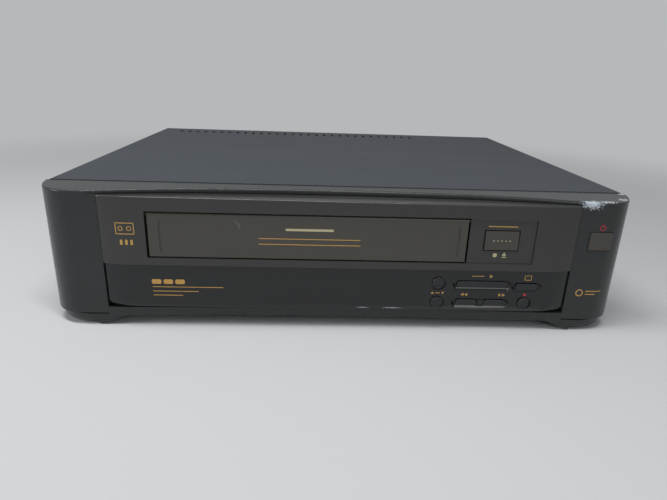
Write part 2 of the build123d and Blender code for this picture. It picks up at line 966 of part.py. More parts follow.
def control_panel():
    """Lower glossy insert with its scoops, rings and button openings."""
    piece = plate(insert_outline(0, panel_front, insert_depth), panel_bottom, panel_top)
    slope = panel_front + panel_bevel_depth
    corner = [
        (panel_front - 1, panel_bottom - 1),
        (slope, panel_bottom - 1),
        (slope, panel_bottom),
        (panel_front, panel_bottom + panel_bevel),
        (panel_front - 1, panel_bottom + panel_bevel),
    ]
    flat = window_half - insert_flat_inset
    piece -= side_view(corner, -flat, flat)
    low = panel_bottom + insert_flange
    high = panel_top - insert_flange
    piece -= plate(insert_outline(insert_wall, panel_front, insert_depth + 1), low, high)
    for x in (channel_x - panel_post_left, record_x + panel_post_right):
        z = (play_z + search_z) / 2
        piece += pin_y(x, panel_front + 1, control_board_y, z, board_post_radius)
    piece -= scoop(play_x - play_width / 2, play_x + play_width / 2, play_z)
    piece -= scoop(tv_x - tv_width / 2, tv_x + tv_width / 2, tv_z)
    piece -= scoop(rewind_x - search_width / 2, forward_x + search_width / 2, search_z)
    piece += divider()
    piece -= pill_hole(play_x, play_z, play_width)
    piece -= pill_hole(tv_x, tv_z, tv_width)
    piece -= pill_hole(rewind_x, search_z, search_width)
    piece -= pill_hole(forward_x, search_z, search_width)
    for x, z in round_places():
        piece -= pin_y(x, panel_front - 1, panel_front + ring_depth, z, ring_radius)
        piece -= pin_y(x, panel_front - 1, panel_front + insert_wall + 1, z, round_radius + button_gap)
    return piece


def divider():
    """Fixed web between the two search buttons, in one line with their faces."""
    x0 = rewind_x + search_width / 2 + button_gap
    x1 = forward_x - search_width / 2 - button_gap
    tall = pill_height / 2
    back = panel_front + insert_wall
    bar = block(x0, x1, panel_front + pill_sink, back, search_z - tall, search_z + tall)
    low = search_z - divider_reach
    high = search_z + divider_reach
    return bar + block(x0, x1, panel_front + divider_sink, back, low, high)


def switch_face():
    """Depth of the switch plungers' faces."""
    return control_board_y - switch_depth - plunger_length


def button_back(x, z, sketch, start):
    """Flange behind a panel that keeps a button in, and its stem to the switch."""
    flange = facing(Pos(x, z) * sketch, start, start + button_flange)
    tip = switch_face() - button_travel - seat_gap
    return flange + pin_y(x, start + button_flange / 2, tip, z, stem_radius)


def pill_button(x, z, width):
    """One long button with round ends."""
    face = SlotOverall(width, pill_height)
    behind = panel_front + insert_wall + seat_gap
    front = panel_front + pill_sink
    body = facing(Pos(x, z) * face, front, behind + merge)
    body = fillet(body.edges().group_by(Axis.Y)[0], button_edge)
    wide = SlotOverall(width + 2 * button_flange, pill_height + 2 * button_flange)
    return body + button_back(x, z, wide, behind)


def round_button(x, z):
    """One round button with a dished face."""
    behind = panel_front + insert_wall + seat_gap
    front = panel_front - round_proud
    body = pin_y(x, front, behind + merge, z, round_radius)
    body = chamfer(body.edges().group_by(Axis.Y)[0], round_edge)
    body -= Pos(x, front + dish_depth - dish_radius, z) * Sphere(dish_radius)
    return body + button_back(x, z, Circle(round_radius + button_flange), behind)


def stop_eject_button():
    """Wide button with a crease, a sloped upper half and a row of small bumps."""
    x, z = eject_place()
    back = fascia_front + insert_wall + seat_gap
    half = eject_width / 2
    tall = eject_height / 2
    proud = fascia_front + eject_sink
    outline = [
        (proud, z - tall),
        (proud, z),
        (proud + eject_slope, z + tall),
        (back + merge, z + tall),
        (back + merge, z - tall),
    ]
    body = side_view(outline, x - half, x + half)
    for number in range(-2, 3):
        body += pin_y(x + number * bump_pitch, proud - eject_sink, proud + merge, z, bump_radius)
    grow = 2 * (eject_gap + button_flange)
    flange = Rectangle(eject_width + grow, eject_height + grow)
    return body + button_back(x, z, flange, back)


def power_button():
    """Button whose face follows the round corner of the right tower."""
    half = power_width / 2
    tall = power_height / 2
    face = plate(tower_plan(-power_proud, seam_y), power_z - tall, power_z + tall)
    window = block(power_x - half, power_x + half, -3, power_depth, power_z - tall, power_z + tall)
    body = face & window
    start = power_depth + merge
    body += block(
        power_x - half, power_x + half, power_depth - merge, start + merge, power_z - tall, power_z + tall
    )
    grow = 2 * (power_gap + power_flange)
    flange = Rectangle(power_width + grow, power_height + grow)
    body += facing(Pos(power_x, power_z) * flange, start, start + button_flange)
    tip = switch_face() + power_switch_drop - power_travel - seat_gap
    return body + pin_y(power_x, start, tip, power_z, stem_radius)


def control_board():
    """Board behind the front, low on the left and full height on the right."""
    back = control_board_y + board_thickness
    low = panel_bottom + board_margin
    high = panel_top - board_margin
    right = power_x + board_right_reach
    eject_x = eject_place()[0]
    lower = block(channel_x - board_left_reach, right, control_board_y, back, low, high)
    top = high + board_upper_height
    upper = block(eject_x - board_upper_reach, right, control_board_y, back, high - merge, top)
    hole_x = eject_x + board_hole_offset
    return lower + upper - pin_y(hole_x, control_board_y - 1, back + 1, power_z, board_hole_radius)


def tact_switch(x, z, depth):
    """One push switch, seated on the control board."""
    half = switch_size / 2
    body = block(x - half, x + half, control_board_y - depth, control_board_y, z - half, z + half)
    top = control_board_y - depth - plunger_length
    return body + pin_y(x, top, control_board_y - depth + 0.5, z, plunger_radius)


def tact_switches():
    """The switches behind the nine buttons."""
    places = round_places() + [eject_place()]
    places += [(play_x, play_z), (tv_x, tv_z), (rewind_x, search_z), (forward_x, search_z)]
    switches = [tact_switch(x, z, switch_depth) for x, z in places]
    switches.append(tact_switch(power_x, power_z, switch_depth - power_switch_drop))
    return group(switches)


def cover_half():
    """Half width of the cover."""
    return body_half - cover_inset


def side_screw_places():
    """Depths of the two cover screws on each side."""
    return (seam_y + side_screw_front, cover_rear - side_screw_rear)


def side_screw_z():
    """Height of the cover screws on the sides."""
    return floor_top + side_screw_lift


def rear_screw_places():
    """X places of the three cover screws at the back."""
    return (-rear_foot_x, 0, rear_foot_x)


def top_cover():
    """Folded sheet cover: top and two sides, a rear flange and a row of vent slots."""
    front = seam_y + fit_gap
    half = cover_half()

    def folded(inset, y0, y1):
        """Solid of the cover's cross-section, inset by the sheet."""
        tall = cover_top - inset - cover_bottom + inset
        sheet = Pos(0, cover_bottom - inset + tall / 2) * Rectangle(2 * (half - inset), tall)
        sheet = fillet(sheet.vertices().sort_by(Axis.Y)[-2:], cover_bend - inset)
        return facing(sheet, y0, y1)

    cover = folded(0, front, cover_rear) - folded(cover_sheet, front - 1, cover_rear + 1)
    low = cover_top - cover_flange
    inner = half - cover_sheet
    cover += block(-inner, inner, cover_rear - cover_sheet, cover_rear, low, cover_top - 0.4)
    vent_y = cover_rear - vent_rear_inset - vent_length / 2
    for number in range(vent_count):
        x = vent_first_x + number * vent_pitch
        wide = vent_width / 2
        long = vent_length / 2
        cover -= block(x - wide, x + wide, vent_y - long, vent_y + long, cover_top - 2, cover_top + 1)
    for y in side_screw_places():
        cover -= pin_x(-half - 1, half + 1, y, side_screw_z(), screw_radius + screw_clearance)
    for x in rear_screw_places():
        hole = screw_radius + screw_clearance
        cover -= pin_y(x, cover_rear - 2, cover_rear + 1, cover_top - rear_screw_drop, hole)
    return cover


def cover_screws():
    """Pan-head screws that hold the cover at its sides and at the back."""
    screws = []
    half = cover_half()
    for side in (-1, 1):
        for y in side_screw_places():
            z = side_screw_z()
            head = pin_x(side * half, side * (half + side_head_height), y, z, screw_head_radius)
            shank = pin_x(side * (half - screw_reach), side * (half + merge), y, z, screw_radius)
            screws.append(head + shank)
    for x in rear_screw_places():
        z = cover_top - rear_screw_drop
        head = pin_y(x, cover_rear, cover_rear + screw_head_height, z, screw_head_radius)
        shank = pin_y(x, cover_rear - screw_reach, cover_rear + merge, z, screw_radius)
        screws.append(head + shank)
    return group(screws)


def rear_panel():
    """Sheet at the back, with openings for sockets, inlet and air."""
    back = panel_rear
    front = panel_inside
    half = cover_half() - cover_sheet - rear_side_gap
    low = floor_top + 2 * seat_gap
    sheet = block(-half, half, front, back, low, cover_top - cover_sheet - fit_gap)
    for x, z in phono_places():
        sheet -= pin_y(x, front - 1, back + 1, z, phono_radius + socket_collar + socket_hole_gap)
    for x in aerial_places():
        sheet -= pin_y(x, front - 1, back + 1, aerial_z, aerial_radius + socket_collar + socket_hole_gap)
    wide = inlet_width / 2 - inlet_rim + seat_gap
    tall = inlet_height / 2 - inlet_rim + seat_gap
    sheet -= block(inlet_x - wide, inlet_x + wide, front - 1, back + 1, inlet_z - tall, inlet_z + tall)
    for x in rear_screw_places():
        z = cover_top - rear_screw_drop
        sheet -= pin_y(x, front - 1, back + 1, z, screw_radius + shaft_clearance)
    for number in range(rear_slot_count):
        x = inlet_x + rear_slot_offset + number * rear_slot_pitch
        wide = rear_slot_width / 2
        top = rear_slot_bottom + rear_slot_height
        sheet -= block(x - wide, x + wide, front - 1, back + 1, rear_slot_bottom, top)
    return sheet


def deck_corners():
    """Plan places of the four deck screws."""
    half = deck_half - deck_post_inset
    front = deck_front + deck_post_inset
    rear = deck_rear - deck_post_inset
    return [(deck_x + side * half, y) for side in (-1, 1) for y in (front, rear)]


def board_corners():
    """Plan places of the posts under the two boards."""
    right = main_board_right - board_post_inset
    left = main_board_left + board_post_inset
    front = main_board_front + front_post_lead
    rear = board_rear - board_post_inset
    places = [(right, front), (left, front), (right, rear)]
    places.append((left, socket_board_front + socket_post_lead))
    places += [(deck_x - deck_half + rear_post_side, rear), (deck_x, rear)]
    front = power_board_front + power_post_inset
    rear = board_rear - power_post_inset
    for x in (power_board_left + power_post_inset, power_board_right - power_post_inset):
        places += [(x, front), (x, rear)]
    return places


def chassis_tray():
    """Folded sheet pan with upturned edges, posts for the deck and boards, and floor slots."""
    half = cover_half() - cover_sheet - fit_gap
    front = seam_y + tray_front_gap
    rear = panel_inside - 2 * seat_gap
    tray = block(-half, half, front, rear, tower_bottom, floor_top)
    tray += block(-half, half, rear - tray_sheet, rear, floor_top, floor_top + tray_rear_height)
    tray += block(-half, half, front, front + tray_sheet, floor_top, floor_top + tray_front_height)
    for side in (-1, 1):
        wall = block(
            side * (half - tray_sheet), side * half, front, rear, tower_bottom, floor_top + tray_wall_height
        )
        tray += wall
    for x, y in deck_corners():
        tray += post(x, y, floor_top - merge, deck_bottom, deck_post_radius)
        tray -= post(x, y, floor_top + 1, deck_bottom + 1, screw_radius + shaft_clearance)
    for x, y in board_corners():
        tray += post(x, y, floor_top - merge, board_bottom, board_stand_radius)
    for side in (-1, 1):
        x = side * rear_foot_x
        hole = rear_stud_radius + shaft_clearance
        tray -= post(x, cover_rear - rear_foot_inset, tower_bottom - 1, floor_top + 1, hole)
        for y in side_screw_places():
            hole = screw_radius + shaft_clearance
            tray -= pin_x(side * (half - 3), side * (half + 1), y, side_screw_z(), hole)
    x = power_board_left + tray_vent_inset
    for number in range(tray_vent_count):
        y = power_board_front + tray_vent_front + number * tray_vent_pitch
        tray -= block(
            x, x + tray_vent_length, y, y + tray_vent_width, tower_bottom - 1, floor_top + 1
        )
    return tray


def rear_feet():
    """Two turned rubber feet, each with a stud through the tray."""
    feet = []
    for side in (-1, 1):
        x = side * rear_foot_x
        y = cover_rear - rear_foot_inset
        sole = rear_foot_radius - rear_foot_taper
        foot = Pos(x, y, tower_bottom / 2) * Cone(sole, rear_foot_radius, tower_bottom)
        foot += post(x, y, tower_bottom - merge, floor_top + merge, rear_stud_radius)
        foot += post(x, y, floor_top, floor_top + rear_stud_height, rear_stud_head)
        feet.append(foot)
    return group(feet)


# Boards, sockets and power supply


def main_board():
    """L-shaped board, right of the deck and behind it."""
    right = main_board_right
    board = block(main_board_left, right, main_board_front, board_rear, board_bottom, board_top)
    left = deck_x - deck_half + main_board_side
    return board + block(left, right, socket_board_front, board_rear, board_bottom, board_top)


def on_board(x, y, width, depth, height):
    """A box-shaped part on a board, from its left front corner."""
    return block(x, x + width, y, y + depth, board_top, board_top + height)


def small_can(x, y):
    """A small upright capacitor on a board."""
    return post(x, y, board_top, board_top + small_can_height, small_can_radius)


def main_board_components():
    """Screened tuner, chips, coils and capacitors standing on the main board."""
    left = main_board_left + row_side
    right = main_board_right - tuner_side
    front = board_rear - tuner_rear_gap - tuner_depth
    parts = [on_board(right - tuner_width, front, tuner_width, tuner_depth, tuner_height)]
    for row in range(row_count):
        y = main_board_front + row_lead + row * row_pitch
        parts.append(on_board(left, y, chip_width, chip_depth, chip_height))
        parts.append(small_can(left + small_can_side, y))
        x = left + large_can_side
        top = board_top + large_can_height
        parts.append(post(x, y + large_can_lead, board_top, top, large_can_radius))
        parts.append(on_board(right - coil_width, y, coil_width, coil_depth, coil_height))
    for column in range(column_count):
        x = deck_x - deck_half + column_side + column * column_pitch
        parts.append(small_can(x, socket_board_front + small_can_lead))
        y = socket_board_front + small_chip_lead
        parts.append(on_board(x - small_chip_side, y, small_chip_width, small_chip_depth, chip_height))
    return group(parts)


def phono_places():
    """Front-view middles of the four phono sockets."""
    return [(phono_x + i * phono_pitch, phono_z + k * phono_pitch) for i in (0, 1) for k in (0, 1)]


def socket_face():
    """Depth of the socket blocks' back faces, just inside the rear panel."""
    return panel_inside - seat_gap


def socket(x, z, radius, length, bore):
    """One round socket: a collar through the rear panel and a hollow shell behind it."""
    start = socket_face()
    seat = panel_rear + socket_collar_reach
    shell = pin_y(x, start, seat, z, radius + socket_collar)
    shell += pin_y(x, seat - merge, panel_rear + length, z, radius)
    return shell - pin_y(x, start - 1, panel_rear + length + 1, z, bore)


def av_jack_block():
    """Moulded block that carries the four phono sockets."""
    left = phono_x - jack_margin
    right = phono_x + phono_pitch + jack_margin
    top = phono_z + phono_pitch + jack_cap
    return block(left, right, socket_face() - jack_depth, socket_face(), board_top, top)


def phono_sockets():
    """The four phono sockets, seated on their block."""
    return group([socket(x, z, phono_radius, phono_length, phono_bore) for x, z in phono_places()])


def aerial_places():
    """X places of the two aerial sockets."""
    return (aerial_x, aerial_x + aerial_pitch)


def rf_modulator():
    """Screened box on the main board that carries the two aerial sockets."""
    left = aerial_x - modulator_margin
    right = aerial_x + aerial_pitch + modulator_margin
    top = aerial_z + modulator_cap
    return block(left, right, socket_face() - modulator_depth, socket_face(), board_top, top)


def aerial_sockets():
    """The two aerial sockets, seated on the modulator."""
    return group([socket(x, aerial_z, aerial_radius, aerial_length, aerial_bore) for x in aerial_places()])


def mains_inlet():
    """Two-pin inlet with a flange outside the rear panel."""
    back = panel_rear + inlet_flange
    inside = panel_inside - inlet_depth
    wide = inlet_width / 2
    tall = inlet_height / 2
    body = block(inlet_x - wide, inlet_x + wide, panel_rear, back, inlet_z - tall, inlet_z + tall)
    body = fillet(body.edges().filter_by(Axis.Y), inlet_corner)
    wide -= inlet_rim + seat_gap
    tall -= inlet_rim + seat_gap
    seat = panel_rear + merge
    body += block(inlet_x - wide, inlet_x + wide, inside, seat, inlet_z - tall, inlet_z + tall)
    hollow = Pos(inlet_x, inlet_z) * SlotOverall(inlet_hollow_width, inlet_hollow_height)
    floor = back - inlet_hollow_depth
    body -= facing(hollow, floor, back + 1)
    for side in (-1, 1):
        x = inlet_x + side * inlet_pin_offset
        body += pin_y(x, floor - 1, back - inlet_flange, inlet_z, inlet_pin_radius)
    return body


def power_board():
    """Board of the power supply, on the left."""
    left = power_board_left
    return block(left, power_board_right, power_board_front, board_rear, board_bottom, board_top)


def power_transformer():
    """Laminated core with its winding."""
    x = (power_board_left + power_board_right) / 2
    y = power_board_front + core_lead
    core = on_board(x - core_width / 2, y - core_depth / 2, core_width, core_depth, core_height)
    wide = winding_width / 2
    deep = winding_depth / 2
    low = board_top + winding_lift
    winding = block(x - wide, x + wide, y - deep, y + deep, low, low + winding_height)
    return core + fillet(winding.edges().filter_by(Axis.Z), winding_corner)


def power_heatsink():
    """Extruded heatsink with upright fins."""
    x = power_board_left + sink_side
    y = power_board_front + sink_lead
    sink = on_board(x, y, sink_sheet, sink_depth, sink_height)
    root = x + sink_sheet - 1
    for number in range(fin_count):
        sink += on_board(root, y + number * fin_pitch, x + fin_reach - root, fin_sheet, sink_height)
    return sink


def power_can(side, lead, radius, height):
    """An upright capacitor, placed from the power board's right edge and front."""
    x = power_board_right - side
    return post(x, power_board_front + lead, board_top, board_top + height, radius)


def power_capacitors():
    """The tall smoothing capacitors of the power supply."""
    radius = minor_capacitor_radius
    height = minor_capacitor_height
    cans = [
        power_can(main_capacitor_side, main_capacitor_lead, main_capacitor_radius, main_capacitor_height),
        power_can(
            middle_capacitor_side, middle_capacitor_lead, middle_capacitor_radius, middle_capacitor_height
        ),
        power_can(minor_capacitor_side, minor_capacitor_lead, radius, height),
        power_can(last_capacitor_side, last_capacitor_lead, radius, height),
    ]
    return group(cans)


# Tape deck


def arm_axis(side):
    """Plan place of a threading arm's shaft: supply side -1, take-up side 1."""
    return deck_x + side * arm_axis_offset, arm_axis_y


def loading_gear_place():
    """Plan place of the large loading gear, in mesh with the supply arm's gear."""
    reach = gear_module * (arm_gear_teeth + loading_gear_teeth) / 2
    x, y = arm_axis(-1)
    angle = math.radians(loading_gear_angle)
    return x + reach * math.cos(angle), y + reach * math.sin(angle)


def pinion_place():
    """Plan place of the motor's pinion, in mesh with the loading gear."""
    reach = gear_module * (pinion_teeth + loading_gear_teeth) / 2
    x, y = loading_gear_place()
    angle = math.radians(pinion_angle)
    return x + reach * math.cos(angle), y + reach * math.sin(angle)


def pole_angle(side):
    """Direction of a threading arm at rest, in degrees."""
    return pole_start if side < 0 else 540 - pole_start


def deck_plate():
    """Pressed plate with the threading slots and every riveted shaft of the tape drive."""
    middle = (deck_front + deck_rear) / 2
    plan = Pos(deck_x, middle) * RectangleRounded(2 * deck_half, deck_rear - deck_front, deck_corner)
    for side in (-1, 1):
        x, y = arm_axis(side)
        start = pole_angle(side)
        arc = CenterArc((x, y), pole_reach, min(start, start + side * pole_sweep), pole_sweep)
        plan -= SlotArc(arc, slot_width)
    motor_x, motor_y = pinion_place()
    plan -= Pos(motor_x, motor_y) * Circle(motor_hole_radius)
    plan -= Pos(deck_x + capstan_offset, capstan_y) * Circle(housing_radius() + shaft_clearance)
    for x, y in deck_corners():
        plan -= Pos(x, y) * Circle(screw_radius + screw_clearance)
    deck = plate(plan, deck_bottom, deck_top)
    left = deck_x - deck_half + deck_edge_inset
    right = deck_x + deck_half - deck_edge_inset
    edge_back = deck_front + deck_edge_sheet
    deck += block(left, right, deck_front, edge_back, deck_bottom - deck_edge_drop, deck_bottom + merge)
    return deck + deck_shafts() - idler_bearing_bore()


def deck_shafts():
    """Shafts, seats and bearings riveted into the deck, above and below it."""
    root = deck_top - merge
    shafts = []
    for side in (-1, 1):
        x = deck_x + side * reel_offset
        shafts.append(post(x, reel_y, root, deck_top + reel_lift - seat_gap, reel_seat_radius))
        shafts.append(post(x, reel_y, root, reel_bottom() + reel_shaft_height, reel_shaft_radius))
    low = deck_bottom - idler_seat_drop
    shafts.append(post(deck_x, idler_y, low, deck_top + idler_seat_height, idler_seat_radius))
    x = deck_x + pinch_pivot_offset
    shafts.append(post(x, pinch_pivot_y, root, pinch_arm_z + pinch_arm_sheet + 1, pinch_shaft_radius))
    seat = pinch_arm_z + pinch_arm_sheet - pinch_hub_height - 2 * seat_gap
    shafts.append(post(x, pinch_pivot_y, root, seat, pinch_seat_radius))
    x = deck_x + tension_pivot_offset
    top = deck_top + tension_lift
    shafts.append(post(x, tension_pivot_y, root, top + tension_hub_height + merge, tension_shaft_radius))
    shafts.append(post(x, tension_pivot_y, root, top - 2 * seat_gap, tension_seat_radius))
    for x, y in (arm_axis(-1), arm_axis(1), loading_gear_place()):
        low = floor_top + gear_lift - thread_shaft_drop
        shafts.append(post(x, y, low, deck_bottom + merge, thread_shaft_radius))
    return shafts


def idler_bearing_bore():
    """Bore of the idler shaft's bearing."""
    low = deck_bottom - idler_seat_drop - 1
    high = deck_top + idler_seat_height + 1
    return post(deck_x, idler_y, low, high, idler_shaft_radius + shaft_clearance)


def deck_screws():
    """Screws through the deck's corners into the tray's posts."""
    screws = []
    for x, y in deck_corners():
        shank = post(x, y, deck_bottom - deck_screw_reach, deck_top + merge, screw_radius)
        screws.append(shank + post(x, y, deck_top, deck_top + deck_screw_height, deck_screw_head))
    return group(screws)


def reel_bottom():
    """Height of the reel discs' undersides."""
    return deck_top + reel_lift


def reel_table(side):
    """Reel disc with hub and a three-winged spindle."""
    x = deck_x + side * reel_offset
    bottom = reel_bottom()
    top = bottom + reel_disc
    table = post(x, reel_y, bottom, top, reel_radius)
    table += post(x, reel_y, bottom, top + reel_hub_height, reel_hub_radius)
    table += post(x, reel_y, bottom, top + spindle_height, spindle_radius)
    half = reel_wing_width / 2
    for number in range(3):
        wing = block(0, spindle_radius + reel_wing_reach, -half, half, top, top + reel_wing_height)
        table += Pos(x, reel_y, 0) * Rot(0, 0, 90 + 120 * number) * wing
    bore = reel_shaft_radius + shaft_clearance
    return table - post(x, reel_y, bottom - 1, bottom + reel_bore_height, bore)


def wheel_bottom():
    """Height of the idler wheel's and roller's undersides, level with the reel discs."""
    return reel_bottom() + (reel_disc - wheel_height) / 2


def pulley_bottom():
    """Height of the two pulleys' undersides, just above the tray."""
    return floor_top + pulley_floor_gap


def pulley(x, y, radius):
    """Flanged pulley."""
    bottom = pulley_bottom()
    top = bottom + pulley_height
    disc = post(x, y, bottom, top, radius - pulley_groove_depth)
    disc += post(x, y, bottom, bottom + pulley_flange_height, radius + pulley_flange)
    return disc + post(x, y, top - pulley_flange_height, top, radius + pulley_flange)


def idler_drive():
    """Shaft that carries a friction roller above the deck and a pulley below."""
    low = wheel_bottom()
    high = low + wheel_height
    shaft = post(deck_x, idler_y, pulley_bottom(), high + idler_shaft_top, idler_shaft_radius)
    roller = post(deck_x, idler_y, low, high, idler_roller_radius)
    return shaft + roller + pulley(deck_x, idler_y, idler_pulley_radius)


def idler_arm():
    """Lever on the idler shaft, with the wheel's pin under its free end."""
    low = wheel_bottom() + wheel_height + idler_arm_gap
    high = low + arm_sheet
    wheel_y = idler_y - idler_arm_length
    arm = plate(link(deck_x, idler_y, deck_x, wheel_y, idler_arm_width), low, high)
    arm -= post(deck_x, idler_y, low - 1, high + 1, idler_shaft_radius + shaft_clearance)
    return arm + post(deck_x, wheel_y, wheel_bottom() - idler_pin_drop, low + merge, idler_pin_radius)


def idler_wheel():
    """Rubber-tyred wheel that drives one reel or the other."""
    y = idler_y - idler_arm_length
    low = wheel_bottom()
    high = low + wheel_height
    wheel = post(deck_x, y, low, high, idler_wheel_radius)
    return wheel - post(deck_x, y, low - 1, high + 1, idler_pin_radius + shaft_clearance)


def reel_drive_belt():
    """Flat belt from the capstan's pulley to the idler's pulley."""
    x = deck_x + capstan_offset
    run = math.hypot(capstan_offset, capstan_y - idler_y)
    heading = math.atan2(capstan_y - idler_y, capstan_offset)
    lean = math.acos((idler_pulley_radius - capstan_pulley_radius) / run)

    def band(grow):
        """Plan of the belt's outer or inner edge, filled."""
        shape = Pos(deck_x, idler_y) * Circle(idler_pulley_radius + grow)
        shape += Pos(x, capstan_y) * Circle(capstan_pulley_radius + grow)
        corners = []
        for side in (-1, 1):
            angle = heading + side * lean
            near = idler_pulley_radius + grow
            far = capstan_pulley_radius + grow
            ends = [
                (deck_x + near * math.cos(angle), idler_y + near * math.sin(angle)),
                (x + far * math.cos(angle), capstan_y + far * math.sin(angle)),
            ]
            corners += ends if side < 0 else ends[::-1]
        return shape + make_face(Polyline(*corners, close=True))

    low = pulley_bottom() + (pulley_height - belt_thickness) / 2
    return plate(band(belt_thickness) - band(0), low, low + belt_thickness)


def housing_radius():
    """Outer radius of the capstan's bearing tube."""
    return capstan_radius + housing_wall


def capstan_housing():
    """Flanged bearing tube of the capstan, standing in the deck."""
    x = deck_x + capstan_offset
    low = deck_bottom - housing_drop
    high = deck_top + housing_height
    tube = post(x, capstan_y, low, high, housing_radius())
    tube += post(x, capstan_y, deck_top, deck_top + housing_flange_height, housing_flange)
    return tube - post(x, capstan_y, low - 1, high + 1, capstan_radius + shaft_clearance)


def capstan():
    """Capstan shaft with its flywheel and pulley below the deck."""
    x = deck_x + capstan_offset
    shaft = post(x, capstan_y, pulley_bottom(), capstan_top, capstan_radius)
    wheel_low = pulley_bottom() + pulley_height + flywheel_gap
    wheel_high = wheel_low + flywheel_height
    wheel = post(x, capstan_y, wheel_low, wheel_high, flywheel_radius)
    hub = post(x, capstan_y, wheel_low - 2 * flywheel_gap, wheel_high, flywheel_hub)
    return shaft + wheel + hub + pulley(x, capstan_y, capstan_pulley_radius)


def pinch_arm():
    """Lever over the capstan, with the pinch roller's pin under its free end."""
    x0 = deck_x + pinch_pivot_offset
    x1 = deck_x + pinch_roller_offset
    high = pinch_arm_z + pinch_arm_sheet
    plan = link(x0, pinch_pivot_y, x1, pinch_roller_y, pinch_arm_width)
    arm = plate(plan, pinch_arm_z, high)
    arm += post(x0, pinch_pivot_y, high - pinch_hub_height, high, pinch_hub_radius)
    bore = pinch_shaft_radius + shaft_clearance
    arm -= post(x0, pinch_pivot_y, high - pinch_hub_height - 1, high + 1, bore)
    low = pinch_arm_z - pinch_roller_height - 2 * roller_gap
    return arm + post(x1, pinch_roller_y, low, pinch_arm_z + merge, roller_pin_radius)


def pinch_roller():
    """Rubber roller that presses the tape on the capstan."""
    x = deck_x + pinch_roller_offset
    high = pinch_arm_z - roller_gap
    low = high - pinch_roller_height
    roller = post(x, pinch_roller_y, low, high, pinch_roller_radius)
    roller = chamfer(roller.edges(), roller_edge)
    return roller - post(x, pinch_roller_y, low - 1, high + 1, roller_pin_radius + shaft_clearance)


def tension_arm():
    """Lever with a pole that feels the tape's tension."""
    x0 = deck_x + tension_pivot_offset
    x1 = deck_x + tension_pole_offset
    low = deck_top + tension_lift
    high = low + tension_hub_height
    plan = link(x0, tension_pivot_y, x1, tension_pole_y, tension_arm_width)
    arm = plate(plan, low, low + arm_sheet)
    arm += post(x0, tension_pivot_y, low, high, tension_hub_radius)
    arm -= post(x0, tension_pivot_y, low - 1, high + 1, tension_shaft_radius + shaft_clearance)
    return arm + post(x1, tension_pole_y, low + merge, pole_top, tension_pole_radius)


def drum_frame():
    """Place of the tilted drum: its own Z axis is the drum's axis."""
    return Pos(deck_x, drum_y, deck_top) * Rot(-drum_tilt, 0, 0)


def lower_drum():
    """Fixed half of the tilted drum, on its base, with the shaft of the rotating half."""
    tilted = drum_frame()
    top = drum_lift + lower_drum_height
    drum = tilted * post(0, 0, drum_lift, top, drum_radius)
    drum += post(deck_x, drum_y, deck_top, deck_top + drum_lift + drum_base_sink, drum_base_radius)
    reach = top + drum_gap + upper_drum_height - drum_shaft_cover
    return drum + tilted * post(0, 0, top - merge, reach, drum_shaft_radius)


def upper_drum():
    """Rotating half of the drum, with its stepped top and balance holes."""
    tilted = drum_frame()
    low = drum_lift + lower_drum_height + drum_gap
    high = low + upper_drum_height
    drum = post(0, 0, low, high - drum_step_height, drum_radius)
    drum += post(0, 0, high - drum_step_height - merge, high, drum_radius - drum_step_inset)
    for number in range(3):
        spot = Rot(0, 0, 120 * number) * Pos(balance_hole_reach, 0, 0)
        drum -= spot * post(0, 0, high - balance_hole_depth, high + 1, balance_hole_radius)
    cover = drum_shaft_cover / 2
    drum -= post(0, 0, low - 1, high - cover, drum_shaft_radius + shaft_clearance)
    return tilted * drum


def full_erase_head():
    """Erase head on its bracket, before the drum."""
    x = deck_x + erase_offset
    wide = erase_width / 2
    deep = erase_depth / 2
    low = deck_top + head_lift
    head = block(x - wide, x + wide, erase_y - deep, erase_y + deep, low, low + head_height)
    stand_back = erase_y + deep + stand_sheet - 1
    stand = block(x - wide / 2, x + wide / 2, erase_y - deep / 2, stand_back, deck_top, low + stand_sheet)
    return head + stand


def audio_control_head():
    """Audio and control head on its adjusting plate, after the drum."""
    x = deck_x + audio_offset
    back = audio_front + audio_depth
    high = deck_top + head_lift + head_height
    left = x - audio_plate_left
    right = left + audio_plate_width
    rear = audio_front + audio_plate_depth - 1
    base = block(left, right, audio_front - 1, rear, deck_top, deck_top + audio_plate_height)
    left = x - stand_left
    right = left + stand_width
    base += block(left, right, back - 1, back + stand_sheet - 1, deck_top + 2, high)
    half = audio_width / 2
    return base + block(x - half, x + half, audio_front, back, deck_top + head_lift - audio_drop, high)


def guide_post(x, y):
    """Fixed guide with a flange below and a flange above the tape."""
    top = deck_top + guide_height
    guide = post(x, y, deck_top, top, guide_radius)
    guide += post(x, y, deck_top, deck_top + guide_foot_height, guide_flange_radius)
    low = top - 2 * guide_flange_height
    return guide + post(x, y, low, low + guide_flange_height, guide_flange_radius)


def guide_posts():
    """The two fixed guides beside the drum."""
    left = guide_post(deck_x + left_guide_offset, left_guide_y)
    return group([left, guide_post(deck_x + right_guide_offset, right_guide_y)])


def gear_phases():
    """Phases of the threading gears, so that every pair is in mesh at rest."""
    supply = 0.0
    takeup = meshing_phase(0.0, supply, arm_gear_teeth, arm_gear_teeth)
    angle = math.radians(loading_gear_angle)
    large = meshing_phase(angle, supply, arm_gear_teeth, loading_gear_teeth)
    angle = math.radians(pinion_angle)
    small = meshing_phase(angle, large, loading_gear_teeth, pinion_teeth)
    return supply, takeup, large, small


